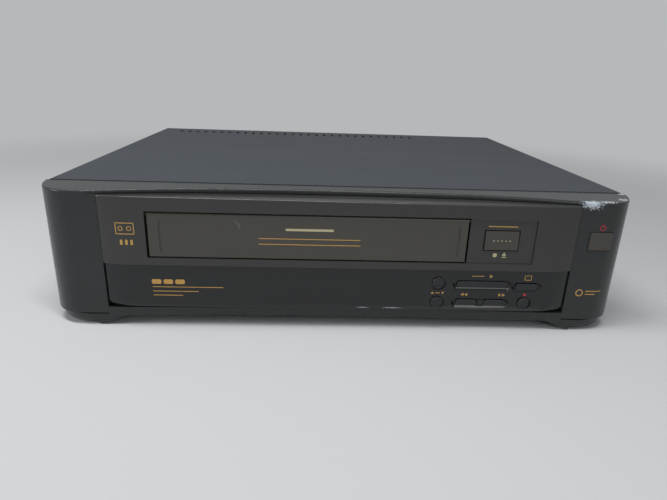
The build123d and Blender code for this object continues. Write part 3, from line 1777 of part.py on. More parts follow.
def loading_arm(side, phase):
    """Threading arm below the deck: gear, lever, and the guide it carries through the slot."""
    x, y = arm_axis(side)
    low = floor_top + gear_lift
    arm = plate(Pos(x, y) * gear_outline(arm_gear_teeth, phase), low, low + gear_height)
    arm += post(x, y, low, deck_bottom - fit_gap, thread_hub_radius)
    angle = math.radians(pole_angle(side))
    pole_x = x + pole_reach * math.cos(angle)
    pole_y = y + pole_reach * math.sin(angle)
    lever_low = low + gear_height + lever_gap
    arm += plate(link(x, y, pole_x, pole_y, lever_width), lever_low, lever_low + lever_height)
    arm -= post(x, y, low - 1, deck_bottom + 1, thread_shaft_radius + shaft_clearance)
    base_low = deck_top + merge
    base_high = base_low + pole_base_height
    arm += post(pole_x, pole_y, lever_low + merge, base_low + merge, pole_stem_radius)
    long = pole_base_length / 2
    wide = pole_base_width / 2
    base = block(-long, long, -wide, wide, base_low, base_high)
    arm += Pos(pole_x, pole_y, 0) * Rot(0, 0, math.degrees(angle)) * base
    arm += post(pole_x, pole_y, base_high - merge, pole_top - merge, pole_radius - pole_waist)
    flange = deck_top + pole_flange_lift
    arm += post(pole_x, pole_y, flange, flange + pole_flange_height, pole_radius)
    return arm + post(pole_x, pole_y, pole_top - pole_flange_height, pole_top, pole_radius)


def loading_gear(phase):
    """Large gear between the motor's pinion and the threading arms."""
    x, y = loading_gear_place()
    low = floor_top + gear_lift
    gear = plate(Pos(x, y) * gear_outline(loading_gear_teeth, phase), low, low + gear_height)
    return gear - post(x, y, low - 1, low + gear_height + 1, thread_shaft_radius + shaft_clearance)


def loading_pinion(phase):
    """Motor pinion with its shaft."""
    x, y = pinion_place()
    low = floor_top + gear_lift
    gear = plate(Pos(x, y) * gear_outline(pinion_teeth, phase), low, low + gear_height)
    return gear + post(x, y, low, deck_top + motor_shaft_reach, motor_shaft_radius)


def loading_motor():
    """Motor above the deck that threads the tape."""
    x, y = pinion_place()
    high = deck_top + loading_motor_height
    motor = post(x, y, deck_top, high, loading_motor_radius)
    motor = chamfer(motor.edges().sort_by(Axis.Z)[-1], motor_edge)
    motor += post(x, y, high - merge, high + motor_hub_height, motor_hub_radius)
    bore = post(x, y, deck_top - 1, deck_top + motor_shaft_reach + 1, motor_shaft_radius + shaft_clearance)
    return motor - bore


# Cassette carriage


def carriage_bracket(side):
    """Upright side plate with a long slot for the slider's pins and a foot on the deck."""
    inner = deck_x + side * bracket_inner
    outer = inner + side * bracket_sheet
    top = slider_top - bracket_top_drop
    wall = block(inner, outer, bracket_front, bracket_rear, deck_top, top)
    foot = deck_x + side * (deck_half - bracket_foot_inset)
    start = bracket_front + bracket_foot_start
    wall += block(inner, foot, start, bracket_rear, deck_top, deck_top + bracket_sheet)
    half = guide_pin_radius + bracket_slot_gap
    start = cheek_front + guide_pin_inset - half
    end = cheek_front + cheek_depth - guide_pin_inset + slide_travel + half
    wall -= block(inner - side, outer + side, start, end, guide_pin_z - half, guide_pin_z + half)
    if side > 0:
        stud = deck_x + gear_outer() + gear_stud_reach
        wall += pin_x(inner + side * pin_reach, stud, carriage_gear_y, carriage_gear_z(), gear_stud_radius)
    return wall


def gear_inner():
    """Distance from the deck's centre line to the carriage gear's inner face."""
    return bracket_inner + bracket_sheet + rack_gap


def gear_outer():
    """Distance from the deck's centre line to the carriage gear's outer face."""
    return gear_inner() + rack_width


def rack_line():
    """Height of the rack's pitch line."""
    return slider_top - cheek_sheet - 2 * gear_module


def carriage_gear_z():
    """Height of the carriage gear's axis."""
    return rack_line() - gear_module * carriage_teeth / 2


def rack():
    """Toothed rack under the slider's right edge, with a tooth over the gear's axis."""
    pitch = math.pi * gear_module
    slope = math.tan(math.radians(20))
    half = (pitch / 2 - backlash) / 2
    tip = rack_line() - gear_module
    root = rack_line() + 1.25 * gear_module
    points = [(rack_front, root)]
    first = math.ceil((rack_front - carriage_gear_y) / pitch + 0.5)
    last = math.floor((rack_rear - carriage_gear_y) / pitch - 0.5)
    for number in range(first, last + 1):
        y = carriage_gear_y + number * pitch
        wide = half + slope * 1.25 * gear_module
        narrow = half - slope * gear_module
        points += [(y - wide, root), (y - narrow, tip), (y + narrow, tip), (y + wide, root)]
    top = slider_top - cheek_sheet + 0.3
    points += [(rack_rear, root), (rack_rear, top), (rack_front, top)]
    return side_view(points, deck_x + gear_inner(), deck_x + gear_outer())


def cheek(side):
    """One side plate of the slider, with upright slots for the holder's pins."""
    inner = deck_x + side * (cheek_offset - cheek_sheet / 2)
    outer = deck_x + side * (cheek_offset + cheek_sheet / 2)
    rear = cheek_front + cheek_depth
    wall = block(inner, outer, cheek_front, rear, slider_bottom, slider_top)
    pin_z = holder_top - holder_pin_drop
    half = holder_pin_radius + holder_slot_gap
    for y in holder_pin_places():
        wall -= block(inner - 1, outer + 1, y - half, y + half, pin_z - drop_travel - half, pin_z + half)
    reach = deck_x + side * (bracket_inner + bracket_sheet + guide_pin_reach)
    for y in (cheek_front + guide_pin_inset, rear - guide_pin_inset):
        wall += pin_x(inner, reach, y, guide_pin_z, guide_pin_radius)
    return wall


def holder_pin_places():
    """Depths of the holder's pins."""
    return (cheek_front + holder_pin_inset, cheek_front + cheek_depth - holder_pin_inset)


def carriage_slider():
    """Frame that carries the cassette holder backwards: bridge, two cheeks and a rack."""
    low = slider_top - cheek_sheet
    left = deck_x - cheek_offset - cheek_sheet / 2
    rear = cheek_front + cheek_depth
    bridge = block(left, deck_x + gear_outer(), cheek_front, rear, low, slider_top)
    inner = deck_x + bracket_inner
    bridge += block(inner, deck_x + gear_outer(), rack_front, rack_rear, low, slider_top)
    front = cheek_front + slider_window_inset
    back = rear - slider_window_inset
    half = slider_window_half
    bridge -= block(deck_x - half, deck_x + half, front, back, low - 1, slider_top + 1)
    return bridge + cheek(-1) + cheek(1) + rack()


def cassette_holder():
    """Open frame that grips the cassette: top, sides, bottom lips and rear stops."""
    rear = holder_front + holder_depth
    low = holder_top - holder_sheet
    frame = block(deck_x - holder_half, deck_x + holder_half, holder_front, rear, low, holder_top)
    front = holder_front + holder_window_front
    back = rear - holder_window_rear
    half = holder_window_half
    frame -= block(deck_x - half, deck_x + half, front, back, low - 1, holder_top + 1)
    for side in (-1, 1):
        outer = deck_x + side * holder_half
        inner = outer - side * holder_sheet
        frame += block(inner, outer, holder_front, rear, holder_bottom, holder_top)
        lip = outer - side * (holder_sheet + holder_lip)
        frame += block(lip, outer, holder_front, rear, holder_bottom, holder_bottom + holder_sheet)
        stop = rear + holder_stop_depth
        frame += block(lip, outer, rear - seat_gap, stop, holder_bottom + holder_stop_lift, holder_top)
        reach = deck_x + side * (cheek_offset + cheek_sheet / 2 + pin_reach)
        for y in holder_pin_places():
            frame += pin_x(inner, reach, y, holder_top - holder_pin_drop, holder_pin_radius)
    return frame


def carriage_gear():
    """Gear on the right bracket, in mesh with the slider's rack."""
    phase = math.radians(90 + 180 / carriage_teeth)
    axis_plane = Plane((deck_x + gear_inner(), carriage_gear_y, carriage_gear_z()), (0, 1, 0), (1, 0, 0))
    gear = extrude(axis_plane * gear_outline(carriage_teeth, phase), amount=rack_width)
    bore = gear_stud_radius + shaft_clearance
    inner = deck_x + gear_inner() - 1
    return gear - pin_x(inner, deck_x + gear_outer() + 1, carriage_gear_y, carriage_gear_z(), bore)


def pieces():
    """Every node of the recorder."""
    supply, takeup, large, small = gear_phases()
    return {
        "front_bezel": front_bezel(),
        "front_feet": front_feet(),
        "upper_fascia": upper_fascia(),
        "control_panel": control_panel(),
        "cassette_door": cassette_door(),
        "power_button": power_button(),
        "stop_eject_button": stop_eject_button(),
        "play_button": pill_button(play_x, play_z, play_width),
        "rewind_button": pill_button(rewind_x, search_z, search_width),
        "fast_forward_button": pill_button(forward_x, search_z, search_width),
        "tv_video_button": pill_button(tv_x, tv_z, tv_width),
        "record_button": round_button(record_x, record_z),
        "channel_up_button": round_button(channel_x, channel_up_z),
        "channel_down_button": round_button(channel_x, channel_down_z),
        "control_board": control_board(),
        "tact_switches": tact_switches(),
        "top_cover": top_cover(),
        "cover_screws": cover_screws(),
        "rear_panel": rear_panel(),
        "chassis_tray": chassis_tray(),
        "rear_feet": rear_feet(),
        "main_board": main_board(),
        "main_board_components": main_board_components(),
        "av_jack_block": av_jack_block(),
        "phono_sockets": phono_sockets(),
        "rf_modulator": rf_modulator(),
        "aerial_sockets": aerial_sockets(),
        "mains_inlet": mains_inlet(),
        "power_board": power_board(),
        "power_transformer": power_transformer(),
        "power_heatsink": power_heatsink(),
        "power_capacitors": power_capacitors(),
        "deck_plate": deck_plate(),
        "deck_screws": deck_screws(),
        "carriage_bracket_left": carriage_bracket(-1),
        "carriage_bracket_right": carriage_bracket(1),
        "carriage_slider": carriage_slider(),
        "cassette_holder": cassette_holder(),
        "carriage_gear": carriage_gear(),
        "supply_reel_table": reel_table(-1),
        "takeup_reel_table": reel_table(1),
        "idler_drive": idler_drive(),
        "idler_arm": idler_arm(),
        "idler_wheel": idler_wheel(),
        "reel_drive_belt": reel_drive_belt(),
        "capstan_housing": capstan_housing(),
        "capstan": capstan(),
        "pinch_arm": pinch_arm(),
        "pinch_roller": pinch_roller(),
        "tension_arm": tension_arm(),
        "lower_drum": lower_drum(),
        "upper_drum": upper_drum(),
        "full_erase_head": full_erase_head(),
        "audio_control_head": audio_control_head(),
        "guide_posts": guide_posts(),
        "supply_loading_arm": loading_arm(-1, supply),
        "takeup_loading_arm": loading_arm(1, takeup),
        "loading_gear": loading_gear(large),
        "loading_pinion": loading_pinion(small),
        "loading_motor": loading_motor(),
    }


rear_end = panel_rear + aerial_length
centre_y = (fascia_front + rear_end) / 2
os.makedirs("parts", exist_ok=True)
for name, piece in pieces().items():
    export_step(Pos(0, -centre_y, 0) * piece, f"parts/{name}.step")
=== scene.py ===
import math

import bmesh
import bpy
from mathutils import Matrix, Vector


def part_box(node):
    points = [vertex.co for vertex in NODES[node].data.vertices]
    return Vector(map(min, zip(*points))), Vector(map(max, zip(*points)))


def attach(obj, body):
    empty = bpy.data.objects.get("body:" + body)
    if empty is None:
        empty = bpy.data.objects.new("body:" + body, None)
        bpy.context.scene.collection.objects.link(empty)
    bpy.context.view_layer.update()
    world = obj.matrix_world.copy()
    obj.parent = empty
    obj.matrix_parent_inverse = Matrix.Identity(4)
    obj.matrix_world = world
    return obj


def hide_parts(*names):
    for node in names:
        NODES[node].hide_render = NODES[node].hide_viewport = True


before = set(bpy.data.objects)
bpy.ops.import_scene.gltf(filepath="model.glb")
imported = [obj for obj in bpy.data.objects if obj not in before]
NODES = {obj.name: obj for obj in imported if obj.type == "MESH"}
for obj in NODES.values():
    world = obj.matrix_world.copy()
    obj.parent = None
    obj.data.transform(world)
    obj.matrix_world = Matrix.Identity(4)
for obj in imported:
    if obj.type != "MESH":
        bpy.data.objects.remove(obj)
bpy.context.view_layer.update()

MM = 0.001


# Colours ------------------------------------------------------------------------------------------


def linear(red, green, blue):
    """A colour written as it looks on a screen, 0 to 255, as the linear values of a shader."""

    def channel(value):
        value /= 255
        return value / 12.92 if value <= 0.04045 else ((value + 0.055) / 1.055) ** 2.4

    return (channel(red), channel(green), channel(blue), 1.0)


COVER_GREY = linear(70, 74, 78)
BEZEL_GREY = linear(44, 47, 47)
FASCIA_GREY = linear(51, 52, 49)
PANEL_BLACK = linear(24, 25, 26)
DOOR_GREY = linear(68, 66, 59)
BUTTON_GREY = linear(66, 64, 59)
SMALL_BUTTON_GREY = linear(30, 31, 33)
PRINT_GOLD = linear(200, 156, 84)
PRINT_PALE = linear(196, 186, 150)
PRINT_RED = linear(184, 56, 62)
SCUFF_WHITE = linear(196, 206, 214)
DUST_GREY = linear(150, 150, 145)
ZINC_GREY = linear(166, 168, 168)
TIN_GREY = linear(190, 188, 178)
STEEL_GREY = linear(200, 200, 198)
ALUMINIUM_GREY = linear(205, 206, 208)
DARK_STEEL = linear(64, 64, 66)
CORE_GREY = linear(92, 90, 92)
RUBBER_BLACK = linear(34, 34, 34)
NYLON_WHITE = linear(222, 217, 200)
BOARD_BROWN = linear(96, 82, 44)
TRACK_OLIVE = linear(134, 118, 62)
CASE_BLACK = linear(40, 41, 44)
SLEEVE_BLUE = linear(34, 44, 74)
PLASTIC_BLACK = linear(36, 36, 37)
ACETAL_BLACK = linear(42, 42, 43)
RING_WHITE = linear(214, 212, 204)
RING_YELLOW = linear(212, 172, 40)
RING_RED = linear(172, 44, 42)
FLOOR_PALE = linear(208, 209, 210)


# Shader building ----------------------------------------------------------------------------------


# Noise of about 0.3 to 0.7 frays a patch's edge, which fades between the two shares of its reach.
SPOT_GRAIN = 1.2 * MM
SPOT_DETAIL = 4.0
SPOT_ROUGHNESS = 0.7
SPOT_NOISE_LOW = 0.3
SPOT_NOISE_HIGH = 0.7
SPOT_OUTSIDE = 0.95
SPOT_INSIDE = 0.8
DUST_FULL = 0.8


class Shader:
    """One material: its nodes, and short ways to add layers to it."""

    def __init__(self, name, color, roughness, metallic=0.0, specular=0.5):
        self.material = bpy.data.materials.new(name)
        self.material.use_nodes = True
        self.nodes = self.material.node_tree.nodes
        self.links = self.material.node_tree.links
        self.surface = self.nodes["Principled BSDF"]
        self.surface.inputs["Base Color"].default_value = color
        self.surface.inputs["Roughness"].default_value = roughness
        self.surface.inputs["Metallic"].default_value = metallic
        self.surface.inputs["Specular IOR Level"].default_value = specular
        self.material.diffuse_color = color
        self.place = self.nodes.new("ShaderNodeTexCoord").outputs["Object"]

    def link(self, source, target):
        self.links.new(source, target)

    def noise(self, size, detail=2.0, stretch=(1, 1, 1), roughness=0.5):
        """Noise whose lumps are about as large as size, in metres, drawn out along an axis by stretch."""
        mapping = self.nodes.new("ShaderNodeMapping")
        mapping.inputs["Scale"].default_value = [1 / factor for factor in stretch]
        self.link(self.place, mapping.inputs["Vector"])
        texture = self.nodes.new("ShaderNodeTexNoise")
        texture.inputs["Scale"].default_value = 1 / size
        texture.inputs["Detail"].default_value = detail
        texture.inputs["Roughness"].default_value = roughness
        self.link(mapping.outputs["Vector"], texture.inputs["Vector"])
        return texture.outputs["Fac"]

    def cells(self, size):
        """Distance to the middles of cells about as large as size, in metres."""
        texture = self.nodes.new("ShaderNodeTexVoronoi")
        texture.inputs["Scale"].default_value = 1 / size
        self.link(self.place, texture.inputs["Vector"])
        return texture.outputs["Distance"]

    def ramp(self, value, low, high, out_low=0.0, out_high=1.0):
        """Value from low to high becomes out_low to out_high, held beyond both ends."""
        node = self.nodes.new("ShaderNodeMapRange")
        node.inputs["From Min"].default_value = low
        node.inputs["From Max"].default_value = high
        node.inputs["To Min"].default_value = out_low
        node.inputs["To Max"].default_value = out_high
        self.link(value, node.inputs["Value"])
        return node.outputs["Result"]

    def math(self, operation, first, second):
        """One step of arithmetic on two values, each a socket or a number."""
        node = self.nodes.new("ShaderNodeMath")
        node.operation = operation
        for socket, value in zip(node.inputs, (first, second)):
            if isinstance(value, (int, float)):
                socket.default_value = value
            else:
                self.link(value, socket)
        return node.outputs["Value"]

    def layer(self):
        """A colour mix over the surface's colour, whose A input is what the surface had."""
        base = self.surface.inputs["Base Color"]
        node = self.nodes.new("ShaderNodeMix")
        node.data_type = "RGBA"
        if base.links:
            self.link(base.links[0].from_socket, node.inputs["A"])
        else:
            node.inputs["A"].default_value = base.default_value
        self.link(node.outputs["Result"], base)
        return node

    def tint(self, color, factor):
        """Lays a colour over what the surface has, by a factor from 0 to 1."""
        node = self.layer()
        node.inputs["B"].default_value = color
        self.link(factor, node.inputs["Factor"])

    def shade(self, factor, low, high):
        """Multiplies the surface's colour by low to high as the factor goes from 0 to 1."""
        node = self.layer()
        node.blend_type = "MULTIPLY"
        node.inputs["Factor"].default_value = 1.0
        self.link(self.ramp(factor, 0.0, 1.0, low, high), node.inputs["B"])

    def mottle(self, size, detail, low, high):
        """Shades the colour by low to high in clouds of about this size."""
        self.shade(self.noise(size, detail), low, high)

    def dust(self, size, detail, start, amount, roughness=0.5):
        """Pale dust where noise of this size is above start."""
        grains = self.noise(size, detail, roughness=roughness)
        self.tint(DUST_GREY, self.ramp(grains, start, DUST_FULL, 0.0, amount))

    def rough(self, factor, low, high):
        """Roughness from low to high as the factor goes from 0 to 1."""
        self.link(self.ramp(factor, 0.0, 1.0, low, high), self.surface.inputs["Roughness"])

    def bump(self, height, depth):
        """Relief on top of any relief already there; depth in metres."""
        node = self.nodes.new("ShaderNodeBump")
        node.inputs["Strength"].default_value = 1.0
        node.inputs["Distance"].default_value = depth
        self.link(height, node.inputs["Height"])
        normal = self.surface.inputs["Normal"]
        if normal.links:
            self.link(normal.links[0].from_socket, node.inputs["Normal"])
        self.link(node.outputs["Normal"], normal)

    def grain(self, size, detail, depth):
        """Relief with grains of about this size; depth in metres."""
        self.bump(self.noise(size, detail), depth)

    def spot(self, centre, reach, ragged, size=SPOT_GRAIN):
        """A ragged patch round a place: 1 inside it and 0 outside, in the frame's metres."""
        shift = self.nodes.new("ShaderNodeVectorMath")
        shift.operation = "SUBTRACT"
        self.link(self.place, shift.inputs[0])
        shift.inputs[1].default_value = centre
        squeeze = self.nodes.new("ShaderNodeVectorMath")
        squeeze.operation = "DIVIDE"
        self.link(shift.outputs["Vector"], squeeze.inputs[0])
        squeeze.inputs[1].default_value = reach
        length = self.nodes.new("ShaderNodeVectorMath")
        length.operation = "LENGTH"
        self.link(squeeze.outputs["Vector"], length.inputs[0])
        grain = self.noise(size, SPOT_DETAIL, roughness=SPOT_ROUGHNESS)
        fray = self.ramp(grain, SPOT_NOISE_LOW, SPOT_NOISE_HIGH, -ragged, ragged)
        edge = self.math("ADD", length.outputs["Value"], fray)
        return self.ramp(edge, SPOT_OUTSIDE, SPOT_INSIDE)


# Materials ----------------------------------------------------------------------------------------


# Each noise below is given by its size in metres and its detail, then what it goes from and to.
SPARK_GRAIN = 0.35 * MM
SPARK_RELIEF = 0.012 * MM
POLISHED_RELIEF = 0.002 * MM
PLASTIC_SPECULAR = 0.5
GLOSS_SPREAD = 0.07


def moulded(name, color, roughness, grain=SPARK_GRAIN, relief=SPARK_RELIEF, specular=PLASTIC_SPECULAR):
    """Moulded plastic: fine spark grain, faint cloudiness, and hand-polished patches."""
    shader = Shader(name, color, roughness, specular=specular)
    shader.mottle(45 * MM, 3.0, 0.93, 1.07)
    shader.mottle(2.5 * MM, 2.0, 0.97, 1.03)
    shader.rough(shader.noise(28 * MM, 4.0), roughness - GLOSS_SPREAD, roughness + GLOSS_SPREAD)
    shader.grain(grain, 2.0, relief)
    return shader


def painted_steel():
    """The cover's paint: a fine textured coat with rubbed streaks and a little dust."""
    shader = Shader("cover_paint", COVER_GREY, 0.62, specular=0.1)
    shader.mottle(120 * MM, 2.0, 0.92, 1.08)
    shader.mottle(0.7 * MM, 3.0, 0.9, 1.1)
    shader.rough(shader.noise(14 * MM, 4.0, stretch=(7, 1, 1)), 0.6, 0.72)
    shader.dust(6 * MM, 8.0, start=0.66, amount=0.18, roughness=0.75)
    shader.grain(0.55 * MM, 3.0, 0.02 * MM)
    return shader


def zinc_steel():
    """Zinc plated sheet with a faint crystal pattern and rolling lines."""
    shader = Shader("zinc_steel", ZINC_GREY, 0.36, metallic=0.85)
    shader.shade(shader.cells(5 * MM), 0.96, 1.03)
    shader.mottle(90 * MM, 2.0, 0.96, 1.03)
    shader.rough(shader.noise(10 * MM, 4.0, stretch=(8, 1, 1)), 0.32, 0.44)
    shader.bump(shader.noise(0.8 * MM, 2.0, stretch=(10, 1, 1)), 0.006 * MM)
    return shader


def turned_metal(name, color, roughness):
    """Machined metal with fine turning marks."""
    shader = Shader(name, color, roughness, metallic=1.0)
    shader.rough(shader.noise(1.5 * MM, 3.0, stretch=(1, 1, 0.2)), roughness - 0.05, roughness + 0.1)
    shader.mottle(12 * MM, 2.0, 0.92, 1.05)
    shader.bump(shader.noise(0.3 * MM, 1.0, stretch=(6, 6, 1)), 0.001 * MM)
    return shader


def rubber():
    """Matte black rubber, dusty on its raised grain."""
    shader = Shader("rubber", RUBBER_BLACK, 0.75, specular=0.3)
    shader.mottle(9 * MM, 4.0, 0.8, 1.25)
    shader.dust(1.4 * MM, 5.0, start=0.6, amount=0.16)
    shader.grain(0.6 * MM, 3.0, 0.03 * MM)
    return shader


def nylon():
    """Natural white nylon of the gears."""
    shader = Shader("nylon", NYLON_WHITE, 0.45)
    shader.surface.inputs["Subsurface Weight"].default_value = 0.12
    shader.surface.inputs["Subsurface Scale"].default_value = 1.5 * MM
    shader.mottle(8 * MM, 3.0, 0.93, 1.03)
    shader.grain(0.4 * MM, 2.0, 0.01 * MM)
    return shader


def laminate():
    """Circuit board: brown laminate with a pattern of lighter, raised tracks."""
    shader = Shader("laminate", BOARD_BROWN, 0.4)
    brick = shader.nodes.new("ShaderNodeTexBrick")
    brick.inputs["Scale"].default_value = 1 / (5 * MM)
    brick.inputs["Mortar Size"].default_value = 0.06
    shader.link(shader.place, brick.inputs["Vector"])
    shader.tint(TRACK_OLIVE, brick.outputs["Fac"])
    shader.mottle(3 * MM, 3.0, 0.85, 1.1)
    shader.bump(brick.outputs["Fac"], 0.03 * MM)
    return shader


def printed(name, color):
    """Screen-printed ink, a little uneven."""
    shader = Shader(name, color, 0.45, specular=0.4)
    shader.mottle(0.8 * MM, 3.0, 0.82, 1.1)
    shader.grain(0.3 * MM, 1.0, 0.004 * MM)
    return shader


# White scuffs on the bezel, in mm: X, depth behind the front, height over the mark's line, reach
# along the three axes, and how ragged the edge is.
SCUFF_LINE = 1.5 * MM
SCUFFS = [
    (157.5, 1.0, -1.3, (6.2, 3.4, 2.9), 0.8),
    (168.0, 2.0, 0.4, (6.5, 2.2, 0.7), 1.0),
    (181.0, 7.5, 0.8, (3.2, 2.6, 0.6), 0.9),
    (186.5, 20.5, 0.8, (2.6, 1.6, 1.4), 0.6),
]
SCUFF_STRENGTH = 0.85

# Pale rubs along the lower panel's bottom edge, in mm: X and half length.
RUBS = [(14.5, 4.0), (34.5, 6.0)]
RUB_DEPTH = 1.0 * MM
RUB_HEIGHT = 1.8 * MM
RUB_REACH = (2.5 * MM, 0.45 * MM)
RUB_RAGGED = 0.8
RUB_GRAIN = 0.9 * MM
RUB_STRENGTH = 0.7

# The door's scratch is the ring between two ovals, kept on one side only.
SCRATCH_PLACE = (53 * MM, 20 * MM)
SCRATCH_OUTER = (6 * MM, 9 * MM, 5 * MM)
SCRATCH_INNER = (5.4 * MM, 9 * MM, 4.4 * MM)
SCRATCH_RAGGED = 0.05
SCRATCH_SIDE = (5 * MM, 2 * MM)
SCRATCH_SIDE_REACH = (4 * MM, 9 * MM, 4 * MM)
SCRATCH_SIDE_RAGGED = 0.2
SCRATCH_STRENGTH = 0.4


def worn_bezel():
    """The bezel's plastic with the white scuff on its right top corner and small chips."""
    shader = moulded("bezel_plastic", BEZEL_GREY, 0.27, specular=0.4)
    low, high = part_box("front_bezel")
    line = high.z - SCUFF_LINE
    for x, depth, height, reach, ragged in SCUFFS:
        centre = (x * MM, low.y + depth * MM, line + height * MM)
        patch = shader.spot(centre, [value * MM for value in reach], ragged)
        shader.tint(SCUFF_WHITE, shader.math("MULTIPLY", patch, SCUFF_STRENGTH))
    return shader


def worn_panel():
    """The glossy lower panel, slightly uneven, with two pale rubs on its bottom edge."""
    shader = moulded("panel_plastic", PANEL_BLACK, 0.14, grain=1.2 * MM, relief=POLISHED_RELIEF)
    shader.grain(24 * MM, 1.0, 0.12 * MM)
    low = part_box("control_panel")[0]
    for x, half in RUBS:
        centre = (x * MM, low.y + RUB_DEPTH, low.z + RUB_HEIGHT)
        patch = shader.spot(centre, (half * MM, *RUB_REACH), RUB_RAGGED, RUB_GRAIN)
        shader.tint(SCUFF_WHITE, shader.math("MULTIPLY", patch, RUB_STRENGTH))
    return shader


def worn_door():
    """The door's warm grey plastic, with one faint curved scratch."""
    shader = moulded("door_plastic", DOOR_GREY, 0.25)
    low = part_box("cassette_door")[0]
    x = low.x + SCRATCH_PLACE[0]
    z = low.z + SCRATCH_PLACE[1]
    ring = shader.spot((x, low.y, z), SCRATCH_OUTER, SCRATCH_RAGGED)
    inner = shader.spot((x, low.y, z), SCRATCH_INNER, SCRATCH_RAGGED)
    beside = (x + SCRATCH_SIDE[0], low.y, z + SCRATCH_SIDE[1])
    side = shader.spot(beside, SCRATCH_SIDE_REACH, SCRATCH_SIDE_RAGGED)
    scratch = shader.math("MULTIPLY", shader.math("SUBTRACT", ring, inner), side)
    shader.tint(DUST_GREY, shader.math("MULTIPLY", scratch, SCRATCH_STRENGTH))
    return shader


def make_materials():
    """Every material of the recorder, by its short name."""
    shaders = {
        "bezel": worn_bezel(),
        "fascia": moulded("fascia_plastic", FASCIA_GREY, 0.22),
        "panel": worn_panel(),
        "door": worn_door(),
        "button": moulded("button_plastic", BUTTON_GREY, 0.32, grain=0.5 * MM),
        "small_button": moulded(
            "small_button_plastic", SMALL_BUTTON_GREY, 0.14, grain=0.8 * MM, relief=POLISHED_RELIEF
        ),
        "cover": painted_steel(),
        "zinc": zinc_steel(),
        "tin": turned_metal("tinned_sheet", TIN_GREY, 0.3),
        "steel": turned_metal("polished_steel", STEEL_GREY, 0.2),
        "aluminium": turned_metal("turned_aluminium", ALUMINIUM_GREY, 0.26),
        "dark_steel": turned_metal("blackened_steel", DARK_STEEL, 0.38),
        "rubber": rubber(),
        "nylon": nylon(),
        "laminate": laminate(),
        "case": moulded("component_case", CASE_BLACK, 0.5, grain=0.3 * MM),
        "sleeve": moulded("capacitor_sleeve", SLEEVE_BLUE, 0.3, grain=2 * MM),
        "black_plastic": moulded("black_plastic", PLASTIC_BLACK, 0.38),
        "acetal": moulded("black_acetal", ACETAL_BLACK, 0.34),
        "core": turned_metal("laminated_core", CORE_GREY, 0.5),
        "ink_gold": printed("ink_gold", PRINT_GOLD),
        "ink_pale": printed("ink_pale", PRINT_PALE),
        "ink_red": printed("ink_red", PRINT_RED),
        "insert_white": moulded("insert_white", RING_WHITE, 0.4),
        "insert_yellow": moulded("insert_yellow", RING_YELLOW, 0.4),
        "insert_red": moulded("insert_red", RING_RED, 0.4),
    }
    return {name: shader.material for name, shader in shaders.items()}


NODE_MATERIALS = {
    "bezel": ["front_bezel"],
    "fascia": ["upper_fascia"],
    "panel": ["control_panel"],
    "door": ["cassette_door"],
    "button": ["power_button", "stop_eject_button"],
    "small_button": [
        "play_button", "rewind_button", "fast_forward_button", "tv_video_button",
        "record_button", "channel_up_button", "channel_down_button",
    ],
    "cover": ["top_cover"],
    "zinc": [
        "chassis_tray", "rear_panel", "deck_plate", "carriage_bracket_left", "carriage_bracket_right",
        "carriage_slider", "cassette_holder", "idler_arm", "pinch_arm", "tension_arm",
    ],
    "tin": ["rf_modulator", "loading_motor", "phono_sockets", "aerial_sockets"],
    "steel": ["capstan", "capstan_housing", "full_erase_head", "audio_control_head", "guide_posts"],
    "aluminium": ["lower_drum", "upper_drum", "power_heatsink"],
    "dark_steel": ["cover_screws", "deck_screws"],
    "rubber": ["front_feet", "rear_feet", "reel_drive_belt", "idler_wheel", "pinch_roller"],
    "nylon": [
        "carriage_gear", "supply_loading_arm", "takeup_loading_arm", "loading_gear", "loading_pinion",
    ],
    "laminate": ["main_board", "power_board", "control_board"],
    "case": ["main_board_components", "tact_switches"],
    "sleeve": ["power_capacitors"],
    "black_plastic": ["av_jack_block", "mains_inlet"],
    "acetal": ["supply_reel_table", "takeup_reel_table", "idler_drive"],
    "core": ["power_transformer"],
}


WELD_GAP = 0.002 * MM
FLAT_ANGLE = math.radians(0.3)
EDGE_ANGLE = math.radians(38)
EDGE_SEGMENTS = 2


def dress(name, material):
    """Gives a CAD node its one material."""
    mesh = NODES[name].data
    mesh.materials.clear()
    mesh.materials.append(material)


def dress_where(name, material, chosen):
    """Gives a second material to the faces of a CAD node whose middle the test picks."""
    mesh = NODES[name].data
    mesh.materials.append(material)
    index = len(mesh.materials) - 1
    for face in mesh.polygons:
        if chosen(face.center):
            face.material_index = index


def soften(piece, width):
    """Fine rounded edges: joins the facets of flat faces, then bevels what is sharp."""
    weld = piece.modifiers.new("weld", "WELD")
    weld.merge_threshold = WELD_GAP
    flat = piece.modifiers.new("flat", "DECIMATE")
    flat.decimate_type = "DISSOLVE"
    flat.angle_limit = FLAT_ANGLE
    bevel = piece.modifiers.new("edge", "BEVEL")
    bevel.width = width
    bevel.segments = EDGE_SEGMENTS
    bevel.limit_method = "ANGLE"
    bevel.angle_limit = EDGE_ANGLE
    bevel.use_clamp_overlap = True
    normals = piece.modifiers.new("normals", "WEIGHTED_NORMAL")
    normals.keep_sharp = False


# Stage, light and camera --------------------------------------------------------------------------


FOCAL_LENGTH = 27.89
SENSOR_WIDTH = 36.0
CAMERA_PLACE = (-21.24 * MM, -467.07 * MM, 165.29 * MM)
CAMERA_YAW = 0.0501
CAMERA_PITCH = 0.3410
CAMERA_ROLL = 0.0360
CLIP_START = 10 * MM
CLIP_END = 100.0

STUDIO_PALE = (0.47, 0.48, 0.49, 1.0)
ROOM_COLOR = (0.94, 0.97, 1.0, 1.0)
ROOM_LIGHT = 0.24
FLOOR_HALF = 12.0
FLOOR_CLOUD = 0.6
FLOOR_FADE_START = 0.38
FLOOR_FADE_END = 1.0

